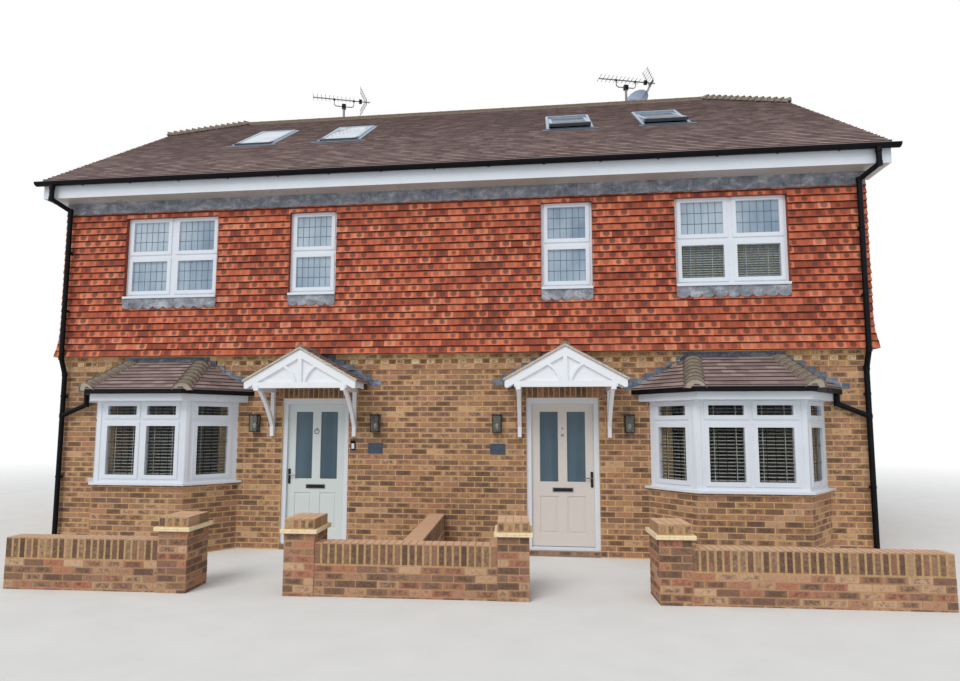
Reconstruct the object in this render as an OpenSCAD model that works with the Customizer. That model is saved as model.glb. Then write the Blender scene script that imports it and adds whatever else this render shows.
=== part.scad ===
// Row of two mirrored brick and tile-hung houses with bays, porches, loft rooflights and garden walls.
// Lengths are in millimetres, +Z is up and the street side faces -Y.
// The origin is on the ground, under the middle of the party wall. Heights called "above the drive"
// are counted from the paving at the front doors, which lies drive_rise above the pavement.

/* [House] */
// Overall width of the brick walls of both houses
house_w = 11490; // [10800:10:12600]
// Overall depth of the brick walls, front to back
house_d = 7080; // [6600:10:8400]
// Thickness of the outer walls
wall_t = 300; // [250:5:350]
// Thickness of the party wall
party_t = 250; // [200:5:300]
// Height of the drive and the door sills above the pavement
drive_rise = 75; // [0:5:150]
// Height of the ground floor above the drive
floor_h = 35; // [20:1:45]
// Height of the first floor above the drive
first_floor_h = 2760; // [2700:5:2900]
// Thickness of the upper floors
joist_t = 220; // [180:5:250]
// Height of the bottom edge of the tile hanging above the drive
tile_foot_h = 2710; // [2600:5:2800]
// Height of the soffit above the drive
soffit_h = 5110; // [5000:5:5400]

/* [Wall finishes] */
// Thickness of the hung tiles with their battens
hang_t = 70; // [50:1:90]
// How far the lowest hung tiles kick out from the brickwork
kick_out = 110; // [90:1:140]
// Height of one hung course
hang_gauge = 100; // [90:1:115]
// Height of the lead band under the soffit
lead_band_h = 180; // [120:5:260]
// Height of one brick course with its joint
course_h = 75; // [70:0.5:80]
// How far the plain corbel courses stand proud
corbel_out = 15; // [8:1:25]
// How far the top corbel course stands proud
corbel_top_out = 30; // [15:1:45]

/* [Roof] */
// Pitch of the main roof
roof_pitch = 36; // [33:0.5:40]
// How far the lowest roof tiles reach in front of the wall
eaves_reach = 350; // [330:5:420]
// How far the roof reaches past the gable walls
verge_reach = 286; // [230:2:330]
// Height of the lowest tile edge above the soffit
eaves_edge = 278; // [260:2:300]
// Thickness of the tiles and battens, straight down
tile_layer = 50; // [40:1:70]
// Thickness of the whole roof slope, straight down
roof_t = 247; // [220:1:260]
// Height of the half hip's foot above the soffit
hip_rise = 2450; // [2200:10:2600]
// How far the ridge ends back from the verge
hip_run = 1324; // [1000:5:1600]
// Depth of the fascia's front face in front of the wall
fascia_reach = 316; // [290:2:330]
// Thickness of fascia and barge boards
board_t = 20; // [16:1:25]
// Depth of the boxed end behind the wall's front face
box_return = 250; // [150:5:350]

/* [Rooflights] */
// Width of a rooflight
light_w = 780; // [550:10:900]
// Length of a rooflight along the slope
light_l = 1400; // [1000:10:1500]
// How far in front of the wall face line the rooflights start, measured inwards on plan
light_foot = 1340; // [1100:10:1500]
// Distance of the inner rooflights from the party line
light_in = 2000; // [1500:10:2200]
// Distance of the outer rooflights from the party line
light_out = 3570; // [3300:10:3800]
// How far the vented sashes are open
vent_angle = 5; // [0:0.5:15]
// How far the rooflights' frames stand out of the tiles
light_up = 20; // [15:1:60]
// Face width of a rooflight's frame
light_rim = 45; // [40:1:60]

/* [Upper windows] */
// Distance of the big windows' middle from the party line
big_x = 4071; // [3900:1:4200]
// Width of a big window
big_w = 1485; // [1300:5:1600]
// Distance of the small windows' middle from the party line
small_x = 1850; // [1700:1:2000]
// Width of a small window
small_w = 713; // [600:1:850]
// Height of an upper window
window_h = 1252; // [1000:2:1400]
// How far the window heads lie under the soffit
head_drop = 270; // [220:2:400]
// Face width of the outer frame
frame_w = 37; // [30:1:60]
// Face width of a sash
sash_w = 55; // [45:1:70]
// Depth of the window frames
frame_d = 70; // [60:1:90]
// How far the frames stand in front of the brick face line
frame_out = 25; // [0:1:40]
// Thickness of the double glazing
glass_t = 24; // [20:1:32]

/* [Bays] */
// Distance of the bays' middle from the party line
bay_x = 4060; // [3900:1:4200]
// Half width of a bay's front face
bay_half = 668; // [500:1:800]
// Half width of a bay where it meets the wall
bay_wall_half = 1149; // [1000:1:1250]
// Projection of a bay
bay_d = 593; // [450:1:700]
// Thickness of the bay's brick base
bay_t = 250; // [200:5:300]
// Height of the bay's sill above the drive
bay_sill_h = 862; // [750:1:950]
// Height of the bay's fascia foot above the drive
bay_head_h = 2018; // [1950:1:2060]
// Height of the bay's fascia
bay_fascia_h = 132; // [100:1:160]
// Overhang of the bay's fascia
bay_fascia_out = 135; // [100:1:160]
// Overhang of the bay's lowest tiles
bay_eaves_out = 200; // [180:1:260]
// How much less the bay's eaves stand out on its canted sides
bay_side_less = 45; // [0:5:60]
// Rise of the bay's roof
bay_roof_rise = 475; // [400:1:480]
// Half width of the bay roof's top edge at the wall
bay_top_half = 540; // [400:1:600]

/* [Doors] */
// Distance of the doors' middle from the party line
door_x = 1765; // [1650:1:1850]
// Width of a door frame
door_frame_w = 990; // [900:1:1100]
// Height of a door frame above the drive
door_frame_h = 2075; // [2000:1:2100]
// Face width of the door frame
jamb_w = 68; // [55:1:80]
// Depth of the door frame
jamb_d = 85; // [75:1:100]
// How far the door frame is set back from the brick face
door_set = 28; // [10:1:60]
// Thickness of a door leaf
leaf_t = 44; // [40:1:54]
// Running gap round a door leaf
leaf_gap = 7; // [6:0.5:9]
// Height of the door threshold above the drive
threshold_h = 45; // [30:1:60]

/* [Porches] */
// Distance of the porches' middle from the party line
porch_x = 1788; // [1700:1:1850]
// Half width of a porch gable
porch_half = 786; // [700:1:850]
// Projection of a porch
porch_d = 594; // [500:1:700]
// Height of the porch's apex above the drive
porch_apex_h = 2722; // [2650:1:2800]
// Height of the barge boards' lower tips above the drive
porch_tip_h = 2181; // [2150:1:2250]
// Depth of the porch's barge boards
porch_board = 100; // [80:1:120]
// Distance of a bracket from the middle of its porch
bracket_x = 610; // [500:1:650]
// Height of the brackets' feet above the drive
bracket_foot_h = 1530; // [1400:5:1650]

/* [Fittings] */
// Distance of the inner lanterns from the party line
lantern_in = 865; // [700:5:900]
// Distance of the outer lanterns from the party line
lantern_out = 2660; // [2500:5:2700]
// Width of a lantern
lantern_w = 125; // [90:1:160]
// Depth of a lantern
lantern_d = 105; // [80:1:140]
// Height of a lantern
lantern_h = 255; // [180:1:350]
// Height of a lantern's foot above the drive
lantern_foot_h = 1590; // [1400:5:1800]
// Distance of the number plates from the party line
plate_x = 870; // [700:5:1000]
// Width of a number plate
plate_w = 210; // [120:1:300]
// Height of a number plate
plate_h = 148; // [90:1:200]
// Height of a number plate's foot above the drive
plate_foot_h = 1290; // [1200:5:1450]
// Distance of the left mast from the party line
left_mast_x = 2716; // [2000:2:3500]
// Distance of the right mast from the party line
right_mast_x = 3286; // [2000:2:3500]
// Height of the right aerial's boom above the ridge
boom_h = 590; // [400:10:700]
// Length of an aerial's boom
boom_l = 1220; // [1200:10:1500]
// Distance of the dish from the party line
dish_x = 3585; // [3500:5:4000]

/* [Rainwater goods] */
// Outer diameter of the main gutter
gutter_dia = 112; // [100:1:130]
// Outer diameter of a downpipe
pipe_dia = 68; // [60:1:75]
// Distance of the downpipes from the party line
pipe_x = 5700; // [5300:5:5720]

/* [Garden walls] */
// Distance of the garden wall's face from the house, on the party line
garden_y = 2236; // [1800:2:3000]
// Turn of the garden walls out of line with the houses
garden_turn = 1.96; // [0:0.02:3]
// Thickness of the garden walls
garden_t = 215; // [102:1:330]
// Height of the garden walls above the pavement
garden_h = 540; // [400:5:900]
// Width of a gate pier
pier_w = 320; // [300:1:450]
// Depth of a gate pier
pier_d = 440; // [300:1:450]
// Height of a pier's brick shaft above the pavement
pier_h = 637; // [500:1:1000]

/* [Hidden] */
half_w = house_w / 2;
front_y = -house_d / 2;
inner_x = half_w - wall_t;
inner_y = house_d / 2 - wall_t;
roof_slope = tan(roof_pitch);
edge_z = drive_rise + soffit_h + eaves_edge;
eaves_y = front_y - eaves_reach;
ridge_z = edge_z - eaves_y * roof_slope;
verge_x = half_w + verge_reach;
ridge_x = verge_x - hip_run;
hip_foot_z = drive_rise + soffit_h + hip_rise;
hip_y = eaves_y + (hip_foot_z - edge_z) / roof_slope;
hip_slope = (ridge_z - hip_foot_z) / hip_run;
cant = atan2(bay_d, bay_wall_half - bay_half);
bay_open = floor(bay_wall_half - bay_t / sin(cant));
bay_top_h = bay_head_h + bay_fascia_h + bay_roof_rise;
bay_eaves_half = bay_wall_half + (bay_eaves_out - bay_side_less) / sin(cant);
bay_gutter_foot = bay_fascia_h - 36;
bay_gutter_w = 75;
light_sash_w = light_w / 2 - light_rim - 2;
light_sash_l = light_l / 2 - light_rim - 2;
lead_step = 95;
big_in = big_x - big_w / 2;
big_out = big_x + big_w / 2;
small_in = small_x - small_w / 2;
small_out = small_x + small_w / 2;
door_in = door_x - door_frame_w / 2;
door_out = door_x + door_frame_w / 2;
leaf_w = door_frame_w - 2 * jamb_w + 24;
head_h = soffit_h - head_drop;
sill_h = head_h - window_h;
seat = 0.3;

// Height above the pavement of a height above the drive
function up(h) = drive_rise + h;
// Top of the roof tiles at a distance y from the ridge line
function roof_top(y) = ridge_z - abs(y) * roof_slope;
// Plan of a bay, grown by d and on its canted sides by less than that, relative to its middle on the wall face
function bay_plan(d, less = 0) = let (
    corner = bay_half + (d - less - d * cos(cant)) / sin(cant),
    end = bay_wall_half + (d - less) / sin(cant)
) [[-end, 0], [-corner, -(bay_d + d)], [corner, -(bay_d + d)], [end, 0]];

// Both houses: the right one as drawn and the left one mirrored
module both() {
    children();
    mirror([1, 0, 0]) children();
}

// Front and back: the front as drawn and the back turned round
module front_and_back() {
    children();
    rotate([0, 0, 180]) children();
}

// A drawing in Y and Z, made solid between two distances along X
module along_x(x0, x1) {
    translate([x0, 0, 0]) rotate([90, 0, 90]) linear_extrude(x1 - x0) children();
}

// A drawing in X and Z, made solid between two distances along Y
module along_y(y0, y1) {
    translate([0, y1, 0]) rotate([90, 0, 0]) linear_extrude(y1 - y0) children();
}

// A box from its lowest to its highest corner
module block(low, high) {
    translate(low) cube(high - low);
}

// Ground floor slab, down to the pavement's level, with the floors of the doorways and bays
module ground_floor() {
    color("silver") {
        block([-inner_x, -inner_y, 0], [inner_x, inner_y, up(floor_h)]);
        front_and_back() both() {
            block([door_in, front_y + 2, 0], [door_out, 1 - inner_y, up(0) - seat]);
            block([door_in, front_y + door_set + jamb_d, 0], [door_out, 1 - inner_y, up(floor_h)]);
        }
        both() translate([bay_x, front_y, 0]) linear_extrude(up(floor_h)) {
            polygon(bay_plan(-bay_t));
            translate([-bay_open, 0]) square([2 * bay_open, wall_t + 1]);
        }
    }
}

// A pier of the front wall
module front_pier(x0, x1, z0, z1) {
    block([x0, front_y, z0], [x1, front_y + wall_t, z1]);
}

// Front wall between its openings: beside doors and bays below, beside windows above
module wall_piers(low_in, low_out, wide_in, wide_out, low_top) {
    front_pier(-low_in, low_in, 0, low_top);
    front_pier(-small_in, small_in, up(sill_h), up(head_h));
    both() {
        front_pier(low_out, wide_in, 0, low_top);
        front_pier(wide_out, inner_x, 0, low_top);
        front_pier(small_out, big_in, up(sill_h), up(head_h));
        front_pier(big_out, inner_x, up(sill_h), up(head_h));
    }
}

module front_wall_piers() {
    color("peru") wall_piers(door_in, door_out, bay_x - bay_open, bay_x + bay_open, up(door_frame_h));
}

// The bands over the ground floor openings and over the upper windows; the top one follows the roof
module wall_bands() {
    front_pier(-inner_x, inner_x, up(door_frame_h), up(sill_h));
    along_x(-inner_x, inner_x) polygon([
        [front_y, up(head_h)],
        [front_y + wall_t, up(head_h)],
        [front_y + wall_t, roof_top(front_y + wall_t) - roof_t],
        [front_y, roof_top(front_y) - roof_t]
    ]);
}

module front_wall_bands() {
    color("peru") wall_bands();
}

module back_wall_piers() {
    color("peru") rotate([0, 0, 180]) {
        wall_piers(door_in, door_out, big_in, big_out, up(door_frame_h));
        both() front_pier(big_in, big_out, 0, up(bay_sill_h));
    }
}

module back_wall_bands() {
    color("peru") rotate([0, 0, 180]) wall_bands();
}

// Outline of a gable in Y and Z under the roof, with its top cut level at the given height
module gable_outline(half_depth, foot, drop, cap) {
    intersection() {
        polygon([
            [-half_depth, foot], [half_depth, foot],
            [half_depth, roof_top(half_depth) - drop],
            [0, ridge_z - drop],
            [-half_depth, roof_top(half_depth) - drop]
        ]);
        translate([-half_depth, foot]) square([2 * half_depth, cap - foot]);
    }
}

// Space over the half hip's lower face, which cuts what stands under it
module over_half_hip(drop) {
    top = ridge_z + 1000;
    along_y(-house_d, house_d) polygon([
        [ridge_x, ridge_z - drop], [verge_x + 500, hip_foot_z - drop - 500 * hip_slope],
        [verge_x + 500, top], [ridge_x, top]
    ]);
}

module gable_walls() {
    color("peru") both() difference() {
        along_x(inner_x, half_w) gable_outline(house_d / 2, 0, roof_t, ridge_z);
        over_half_hip(roof_t);
    }
}

module party_wall() {
    color("lightgray") along_x(-party_t / 2, party_t / 2)
        gable_outline(inner_y, up(floor_h), roof_t, ridge_z);
}

// First floor and loft floor of both houses
module upper_floors() {
    color("burlywood") both() for (z = [up(first_floor_h), up(soffit_h) + joist_t])
        block([party_t / 2, -inner_y, z - joist_t], [inner_x, inner_y, z]);
}

// Section of the hung tiles, as distance out and height, with the kick at their foot
function hang_section(top) = [
    [0, up(tile_foot_h)], [kick_out, up(tile_foot_h)], [kick_out - 1, up(tile_foot_h) + 14],
    [hang_t + 8, up(tile_foot_h) + 2 * hang_gauge], [hang_t, up(tile_foot_h) + 3.5 * hang_gauge],
    [hang_t, top], [0, top]
];

// Hung tiles of the front, mitred at the corners, with holes for the windows
module front_hanging() {
    top = up(soffit_h) - lead_band_h;
    difference() {
        intersection() {
            along_x(-house_w, house_w) translate([front_y, 0]) mirror([1, 0]) polygon(hang_section(top));
            along_y(-house_d, house_d) {
                both_sides() translate([half_w - 1, 0]) polygon([for (p = hang_section(top)) [p.x + 1, p.y]]);
                translate([-half_w, up(tile_foot_h)]) square([house_w, top - up(tile_foot_h)]);
            }
        }
        both() for (w = [[big_in, big_out], [small_in, small_out]])
            block([w[0], front_y - 2 * kick_out, up(sill_h)], [w[1], front_y + 1, up(head_h)]);
    }
}

// The two sides of a flat drawing
module both_sides() {
    children();
    mirror([1, 0]) children();
}

module front_tile_hanging() {
    color("orangered") difference() {
        front_hanging();
        wall_cuts();
    }
}

// Half width of a bay's roof and of a porch's roof on the wall, at a height
function bay_roof_half(z) = bay_top_half
    + (up(bay_top_h) - z) * (bay_eaves_half - bay_top_half) / (bay_roof_rise - 40);
function porch_roof_half(z) = (up(porch_apex_h) + porch_roof_t - z) / porch_slope;
// Foot of the brick course that lies j courses under the tile hanging
function course_foot(j) = up(tile_foot_h) - j * course_h;
// How far lead dressed on the wall stands out at a height, over the corbel courses or below them
function lead_out(z) = z >= course_foot(3) ? corbel_top_out + 6 : 8;

// One step of lead on a brick course, over a roof with the given half width there
module lead_course(x, z, half) {
    translate([x, front_y, z]) block([-half, -lead_out(z), 0], [half, 0, course_h]);
}

// Stepped lead beside the roofs of bay and porch, one step a brick course
module lead_steps(grow) {
    reach = lead_step + grow;
    for (j = [1:8]) {
        z = course_foot(j);
        if (z > up(bay_head_h + bay_fascia_h) - 20 && z < up(bay_top_h))
            lead_course(bay_x, z, bay_roof_half(z) + reach);
        if (z > up(porch_tip_h + porch_board / 2)) lead_course(porch_x, z, porch_roof_half(z) + reach);
    }
}

// What bay and porch roofs cut out of the finishes of the front wall
module wall_cuts() {
    both() along_y(front_y - kick_out - 10, front_y + 1) {
        translate([bay_x, 0]) bay_roof_outline(3);
        translate([porch_x, 0]) porch_roof_outline(3);
    }
}

// Outline of a bay's roof and of the lead over it where they meet the wall
module bay_roof_outline(grow) {
    half = bay_eaves_half + grow;
    foot = up(bay_head_h);
    polygon([
        [-half, foot], [-half, foot + bay_fascia_h + 43], [-bay_top_half - 125, up(bay_top_h) + grow],
        [-bay_top_half - 125, up(bay_top_h) + 64 + grow], [bay_top_half + 125, up(bay_top_h) + 64 + grow],
        [bay_top_half + 125, up(bay_top_h) + grow], [half, foot + bay_fascia_h + 43], [half, foot]
    ]);
}

// Outline of a porch roof where it meets the wall
module porch_roof_outline(grow) {
    run = porch_half + 20 + grow;
    foot = up(porch_apex_h) - run * porch_slope;
    top = porch_roof_t + grow;
    polygon([[-run, foot - rafter_d - grow], [-run, foot + top], [0, up(porch_apex_h) + top], [run, foot + top],
        [run, foot - rafter_d - grow]]);
}

module back_tile_hanging() {
    color("orangered") rotate([0, 0, 180]) front_hanging();
}

// Hung tiles of the gable walls, up to the roof
module side_tile_hanging() {
    color("orangered") both() difference() {
        intersection() {
            along_y(front_y, -front_y) translate([half_w, 0]) polygon(hang_section(ridge_z));
            along_x(0, house_w) gable_outline(house_d / 2, up(tile_foot_h), roof_t, ridge_z);
        }
        over_half_hip(roof_t);
    }
}

// Square ring round the house
module wall_ring(out, z0, z1) {
    difference() {
        block([-half_w - out, front_y - out, z0], [half_w + out, -front_y + out, z1]);
        block([-half_w, front_y, z0 - 1], [half_w, -front_y, z1 + 1]);
    }
}

// Three brick courses that step out under the tile hanging
module corbel_courses() {
    top = up(tile_foot_h);
    color("tan") difference() {
        union() {
            wall_ring(corbel_out, top - 3 * course_h, top - 2 * course_h);
            wall_ring(corbel_out / 2, top - 2 * course_h, top - course_h);
            wall_ring(corbel_top_out, top - course_h, top);
        }
        wall_cuts();
        both() lead_steps(seat);
    }
}

// Lead bands between the hung tiles and the soffit, front and back
module lead_bands() {
    color("slategray") front_and_back()
        block([-half_w - hang_t, front_y - hang_t, up(soffit_h) - lead_band_h],
              [half_w + hang_t, front_y, up(soffit_h)]);
}

// Plan of the front slope between two verges and the half hips
module front_plan(verge) {
    linear_extrude(2 * ridge_z) polygon([
        [-verge, eaves_y - 1], [verge, eaves_y - 1], [verge, hip_y + (verge_x - verge) * hip_y / -hip_run],
        [ridge_x, 0], [-ridge_x, 0], [-verge, hip_y + (verge_x - verge) * hip_y / -hip_run]
    ]);
}

// Front roof slope: the tile layer to the verge, the rest to the barge boards
module roof_slope_solid() {
    intersection() {
        along_x(-verge_x, verge_x) polygon([
            [eaves_y, edge_z], [0, ridge_z], [0, ridge_z - tile_layer], [eaves_y, edge_z - tile_layer]
        ]);
        front_plan(verge_x);
    }
    lip = front_y - fascia_reach + board_t + 1;
    intersection() {
        along_x(-verge_x, verge_x) polygon([
            [lip, roof_top(lip) - tile_layer], [0, ridge_z - tile_layer],
            [0, ridge_z - roof_t], [lip, roof_top(lip) - roof_t]
        ]);
        front_plan(verge_x - board_t - 1);
    }
}

// Puts a piece on the front slope: X along the eaves, Y up the slope, Z out of the tiles
module on_slope(x) {
    y = front_y + light_foot;
    translate([x, y, roof_top(y)]) rotate([roof_pitch, 0, 0]) children();
}

// Middles of the rooflights, from left to right
light_xs = [-light_out, -light_in, light_in, light_out];

module front_roof() {
    color("saddlebrown") difference() {
        roof_slope_solid();
        for (x = light_xs) on_slope(x)
            translate([-light_w / 2, 0, -roof_t]) cube([light_w, light_l, 2 * roof_t]);
    }
}

module back_roof() {
    color("saddlebrown") rotate([0, 0, 180]) roof_slope_solid();
}

// Half hips at both ends of the ridge
module half_hips() {
    color("saddlebrown") both() {
        intersection() {
            along_y(-house_d, house_d) polygon([
                [verge_x, hip_foot_z], [ridge_x, ridge_z], [ridge_x, ridge_z - tile_layer],
                [verge_x, hip_foot_z - tile_layer]
            ]);
            linear_extrude(2 * ridge_z)
                polygon([[verge_x, hip_y], [verge_x, -hip_y], [ridge_x, 0]]);
        }
        rim = verge_x - board_t - 1;
        rim_y = -hip_y * (rim - ridge_x) / hip_run;
        intersection() {
            along_y(-house_d, house_d) polygon([
                [rim, ridge_z - (rim - ridge_x) * hip_slope - tile_layer], [ridge_x, ridge_z - tile_layer],
                [ridge_x, ridge_z - roof_t], [rim, ridge_z - (rim - ridge_x) * hip_slope - roof_t]
            ]);
            linear_extrude(2 * ridge_z)
                polygon([[rim, -rim_y], [rim, rim_y], [ridge_x, 0]]);
        }
    }
}

// Half-round ridge tiles along the level ridge
module ridge_tiles() {
    r = 100;
    color("tan") difference() {
        translate([-ridge_x, 0, ridge_z - 62]) rotate([0, 90, 0]) cylinder(r = r, h = 2 * ridge_x, $fn = 48);
        translate([-ridge_x - 1, 0, ridge_z - 62]) rotate([0, 90, 0])
            cylinder(r = r - 15, h = 2 * ridge_x + 2, $fn = 48);
        under_roof();
    }
}

// Half-round tiles down the four short hips, from the ridge's ends to the verge
module hip_tiles() {
    v = [hip_run, hip_y, hip_foot_z - ridge_z];
    color("tan") both() front_and_back() difference() {
        intersection() {
            translate([ridge_x, 0, ridge_z - 48]) rotate([0, acos(v.z / norm(v)), atan2(v.y, v.x)])
                cylinder(r = 90, h = norm(v) + 60, $fn = 48);
            block([ridge_x + 1, hip_y - 100, 0], [verge_x, 0, ridge_z + 200]);
        }
        under_roof();
        along_y(-house_d, house_d)
            polygon([
                [0, 0], [0, ridge_z], [ridge_x, ridge_z],
                [verge_x + 1, hip_foot_z - hip_slope], [verge_x + 1, 0]
            ]);
    }
}

// Everything under the tiles of the main slopes
module under_roof() {
    along_x(-verge_x, verge_x) polygon([
        [front_y, roof_top(front_y)], [0, ridge_z], [-front_y, roof_top(front_y)], [-front_y, 0], [front_y, 0]
    ]);
}

// Lining and outer frame of each rooflight, through the roof, with the lead apron at its foot
module rooflight_frames() {
    color("gray") for (x = light_xs) on_slope(x) {
        difference() {
            translate([-light_w / 2, 0, 40 - roof_t]) cube([light_w, light_l, roof_t + light_up - 40]);
            translate([light_rim - light_w / 2, light_rim, -roof_t])
                cube([light_w - 2 * light_rim, light_l - 2 * light_rim, 2 * roof_t]);
        }
        translate([-light_w / 2 - 70, -120, seat]) cube([light_w + 140, 120, 17]);
    }
}

// Turns a rooflight's sash about its middle; the right-hand house has its sashes vented
module vented(x) {
    a = x > 0 ? vent_angle : 0;
    translate([0, light_l / 2, light_up - 12]) rotate([-a, 0, 0]) children();
}

module rooflight_sashes() {
    color("silver") for (x = light_xs) on_slope(x) vented(x) {
        difference() {
            block([-light_sash_w, -light_sash_l, -18], [light_sash_w, light_sash_l, 30]);
            block([55 - light_sash_w, 60 - light_sash_l, -19], [light_sash_w - 55, light_sash_l - 60, 31]);
        }
        for (s = [-1, 1]) translate([s * (light_sash_w - 2), 0, 0]) rotate([0, 90 * s, 0])
            cylinder(d = 14, h = 4 - seat, $fn = 24);
    }
}

module rooflight_glass() {
    color("lightblue") for (x = light_xs) on_slope(x) vented(x)
        block([55 - light_sash_w, 60 - light_sash_l, 2], [light_sash_w - 55, light_sash_l - 60, 24]);
}

mast_y = 190;
mast_d = 48;

// Half of a corner reflector: two bars with rods across them, from the boom upwards and forwards
module reflector_half() {
    long = 285;
    translate([0, 0, 12]) rotate([0, -27, 0]) {
        for (y = [-98, 90]) translate([0, y, 0]) cube([8, 8, long]);
        for (i = [0:5]) translate([1, -150, 8 + i * (long - 22) / 5]) cube([6, 300, 6]);
    }
}

// Cradle tube that carries a boom on its mast, in X and Z under the boom
module cradle(half, drop) {
    bend = 60;
    tube = 16;
    both_sides() {
        translate([half - tube / 2, bend - drop]) square([tube, drop - bend + 5]);
        translate([half - bend, bend - drop]) difference() {
            circle(r = bend + tube / 2, $fn = 48);
            circle(r = bend - tube / 2, $fn = 48);
            translate([-2 * bend, 0]) square([4 * bend, 2 * bend]);
            translate([-2 * bend, -2 * bend]) square([2 * bend, 4 * bend]);
        }
    }
    translate([bend - half, -drop - tube / 2]) square([2 * (half - bend), tube]);
}

// A television aerial behind the ridge: mast with its foot and clamp, cradle, boom, elements and reflector
module aerial(x, h, turn, ahead) {
    drop = 150;
    z = ridge_z + h;
    difference() {
        translate([x, mast_y, ridge_z - 300]) {
            cylinder(d = mast_d, h = h + 300 - drop + 60, $fn = 32);
            translate([-60, -50, 0]) cube([120, 100, 215]);
        }
        under_roof();
    }
    front = -ahead * boom_l;
    corner = front + boom_l - 90;
    translate([x, mast_y, z]) rotate([0, 0, turn]) {
        translate([-42, -40, -drop - 45]) cube([84, 80, 90]);
        translate([front, -9, -9]) cube([boom_l, 18, 18]);
        for (i = [0:10]) translate([front + 6 + i * 86, -135 + i * 2, 8]) cube([8, 270 - i * 4, 7]);
        along_y(-8, 8) cradle(208, drop);
        translate([corner - 150, -30, -38]) cube([60, 60, 76]);
        translate([corner, 0, 0]) {
            reflector_half();
            mirror([0, 0, 1]) reflector_half();
            for (s = [-1, 1]) translate([-6, -98, s * 14 - 6]) cube([20, 196, 12]);
            translate([-6, -10, -20]) cube([20, 20, 40]);
        }
    }
}

module tv_aerials() {
    color("silver") {
        aerial(-left_mast_x, boom_h - 55, 16.8, 0.54);
        aerial(right_mast_x, boom_h, 14.9, 0.476);
    }
}

// Dish on a pole behind the ridge, with the arm of its receiver
module satellite_dish() {
    at = [dish_x, 600, ridge_z + 363];
    color("gray") {
        difference() {
            translate([at.x + 27, at.y + 51, ridge_z - 700]) {
                cylinder(d = mast_d, h = at.z - ridge_z + 740, $fn = 32);
                translate([-60, -60, 0]) cube([120, 120, 290]);
            }
            under_roof();
        }
        translate(at) rotate([73.6, 0, -27.7]) {
            rotate_extrude($fn = 64) polygon([
                [0, -60], [14, -60], [14, -12], [40, -12], [40, 4], [90, 8], [160, 22], [245, 50], [245, 54],
                [158, 27], [88, 13], [0, 5]
            ]);
            translate([-8, -249, 44]) cube([16, 14, 230]);
            translate([-62, -262, 262]) cube([124, 46, 46]);
        }
    }
}

// Fascia and soffit of one long side, with the soffit turned in at the boxed ends
module eaves_box() {
    z = up(soffit_h);
    lip = front_y - fascia_reach;
    block([-verge_x + board_t, lip, z], [verge_x - board_t, lip + board_t, roof_top(lip) - tile_layer - seat]);
    block([-verge_x + board_t, lip + board_t, z], [verge_x - board_t, front_y, z + 12]);
    back = front_y + box_return;
    both() {
        block([half_w + hang_t, front_y, z], [verge_x - board_t, back, z + 12]);
        block([half_w + hang_t, back - board_t, z], [verge_x - board_t, back, roof_top(back) - roof_t - 20]);
    }
}

module fascias_and_soffits() {
    color("white") front_and_back() eaves_box();
}

// Outline of the barge boards of one gable in Y and Z
module barge_outline() {
    deep = roof_t + 45;
    y = front_y - fascia_reach;
    b = front_y + box_return;
    difference() {
        intersection() {
            polygon([
                [y, up(soffit_h)], [y, roof_top(y) - tile_layer - seat],
                [0, ridge_z - tile_layer - seat], [-y, roof_top(y) - tile_layer - seat],
                [-y, up(soffit_h)]
            ]);
            translate([y, 0]) square([-2 * y, hip_foot_z - tile_layer - seat]);
        }
        polygon([
            [b, up(soffit_h) - 1], [b, roof_top(b) - deep], [hip_y, hip_foot_z - deep],
            [-hip_y, hip_foot_z - deep], [-b, roof_top(b) - deep], [-b, up(soffit_h) - 1]
        ]);
    }
}

module bargeboards() {
    color("white") both() along_x(verge_x - board_t, verge_x) barge_outline();
}

// Half-round trough with its round side down
module trough(len, dia) {
    rotate([90, 0, 90]) linear_extrude(len) difference() {
        circle(d = dia, $fn = 48);
        circle(d = dia - 8, $fn = 48);
        translate([-dia, 0]) square([2 * dia, dia]);
    }
}

// Gutter along one long side with its stop ends, brackets and unions
module long_gutter() {
    over = 79;
    r = gutter_dia / 2;
    z = up(soffit_h) + 230;
    y = front_y - fascia_reach - r - 6;
    translate([-verge_x - over, y, z]) trough(2 * (verge_x + over), gutter_dia);
    both() translate([verge_x + over - 6, y, z]) difference() {
        rotate([0, 90, 0]) cylinder(r = r, h = 6, $fn = 48);
        translate([-1, -gutter_dia, 0]) cube([8, 2 * gutter_dia, gutter_dia]);
    }
    for (i = [-7:7]) translate([i * 770, 0, 0])
        block([-14, y + r - 5, z - 45], [14, front_y - fascia_reach - seat, z + 4]);
    both() translate([pipe_x + 145, y, z - r - 50]) cylinder(d = pipe_dia + 12, h = 65, $fn = 32);
}

module gutters() {
    color("black") front_and_back() long_gutter();
}

// A pipe between two points
module pipe_run(a, b) {
    v = b - a;
    len = norm(v);
    translate(a) rotate([0, acos(v.z / len), atan2(v.y, v.x)]) cylinder(d = pipe_dia, h = len, $fn = 32);
}

// Collar where two runs of pipe meet
module pipe_collar(at) {
    translate([at.x, at.y, at.z - 30]) cylinder(d = pipe_dia + 10, h = 60, $fn = 32);
}

// Clip that holds a pipe at a height off a face
module pipe_clip(y, face, z) {
    translate([pipe_x, y, z]) cylinder(d = pipe_dia + 8, h = 30, $fn = 32);
    block([pipe_x - 24, y + pipe_dia / 2 - 4, z], [pipe_x + 24, face - seat, z + 30]);
}

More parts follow.
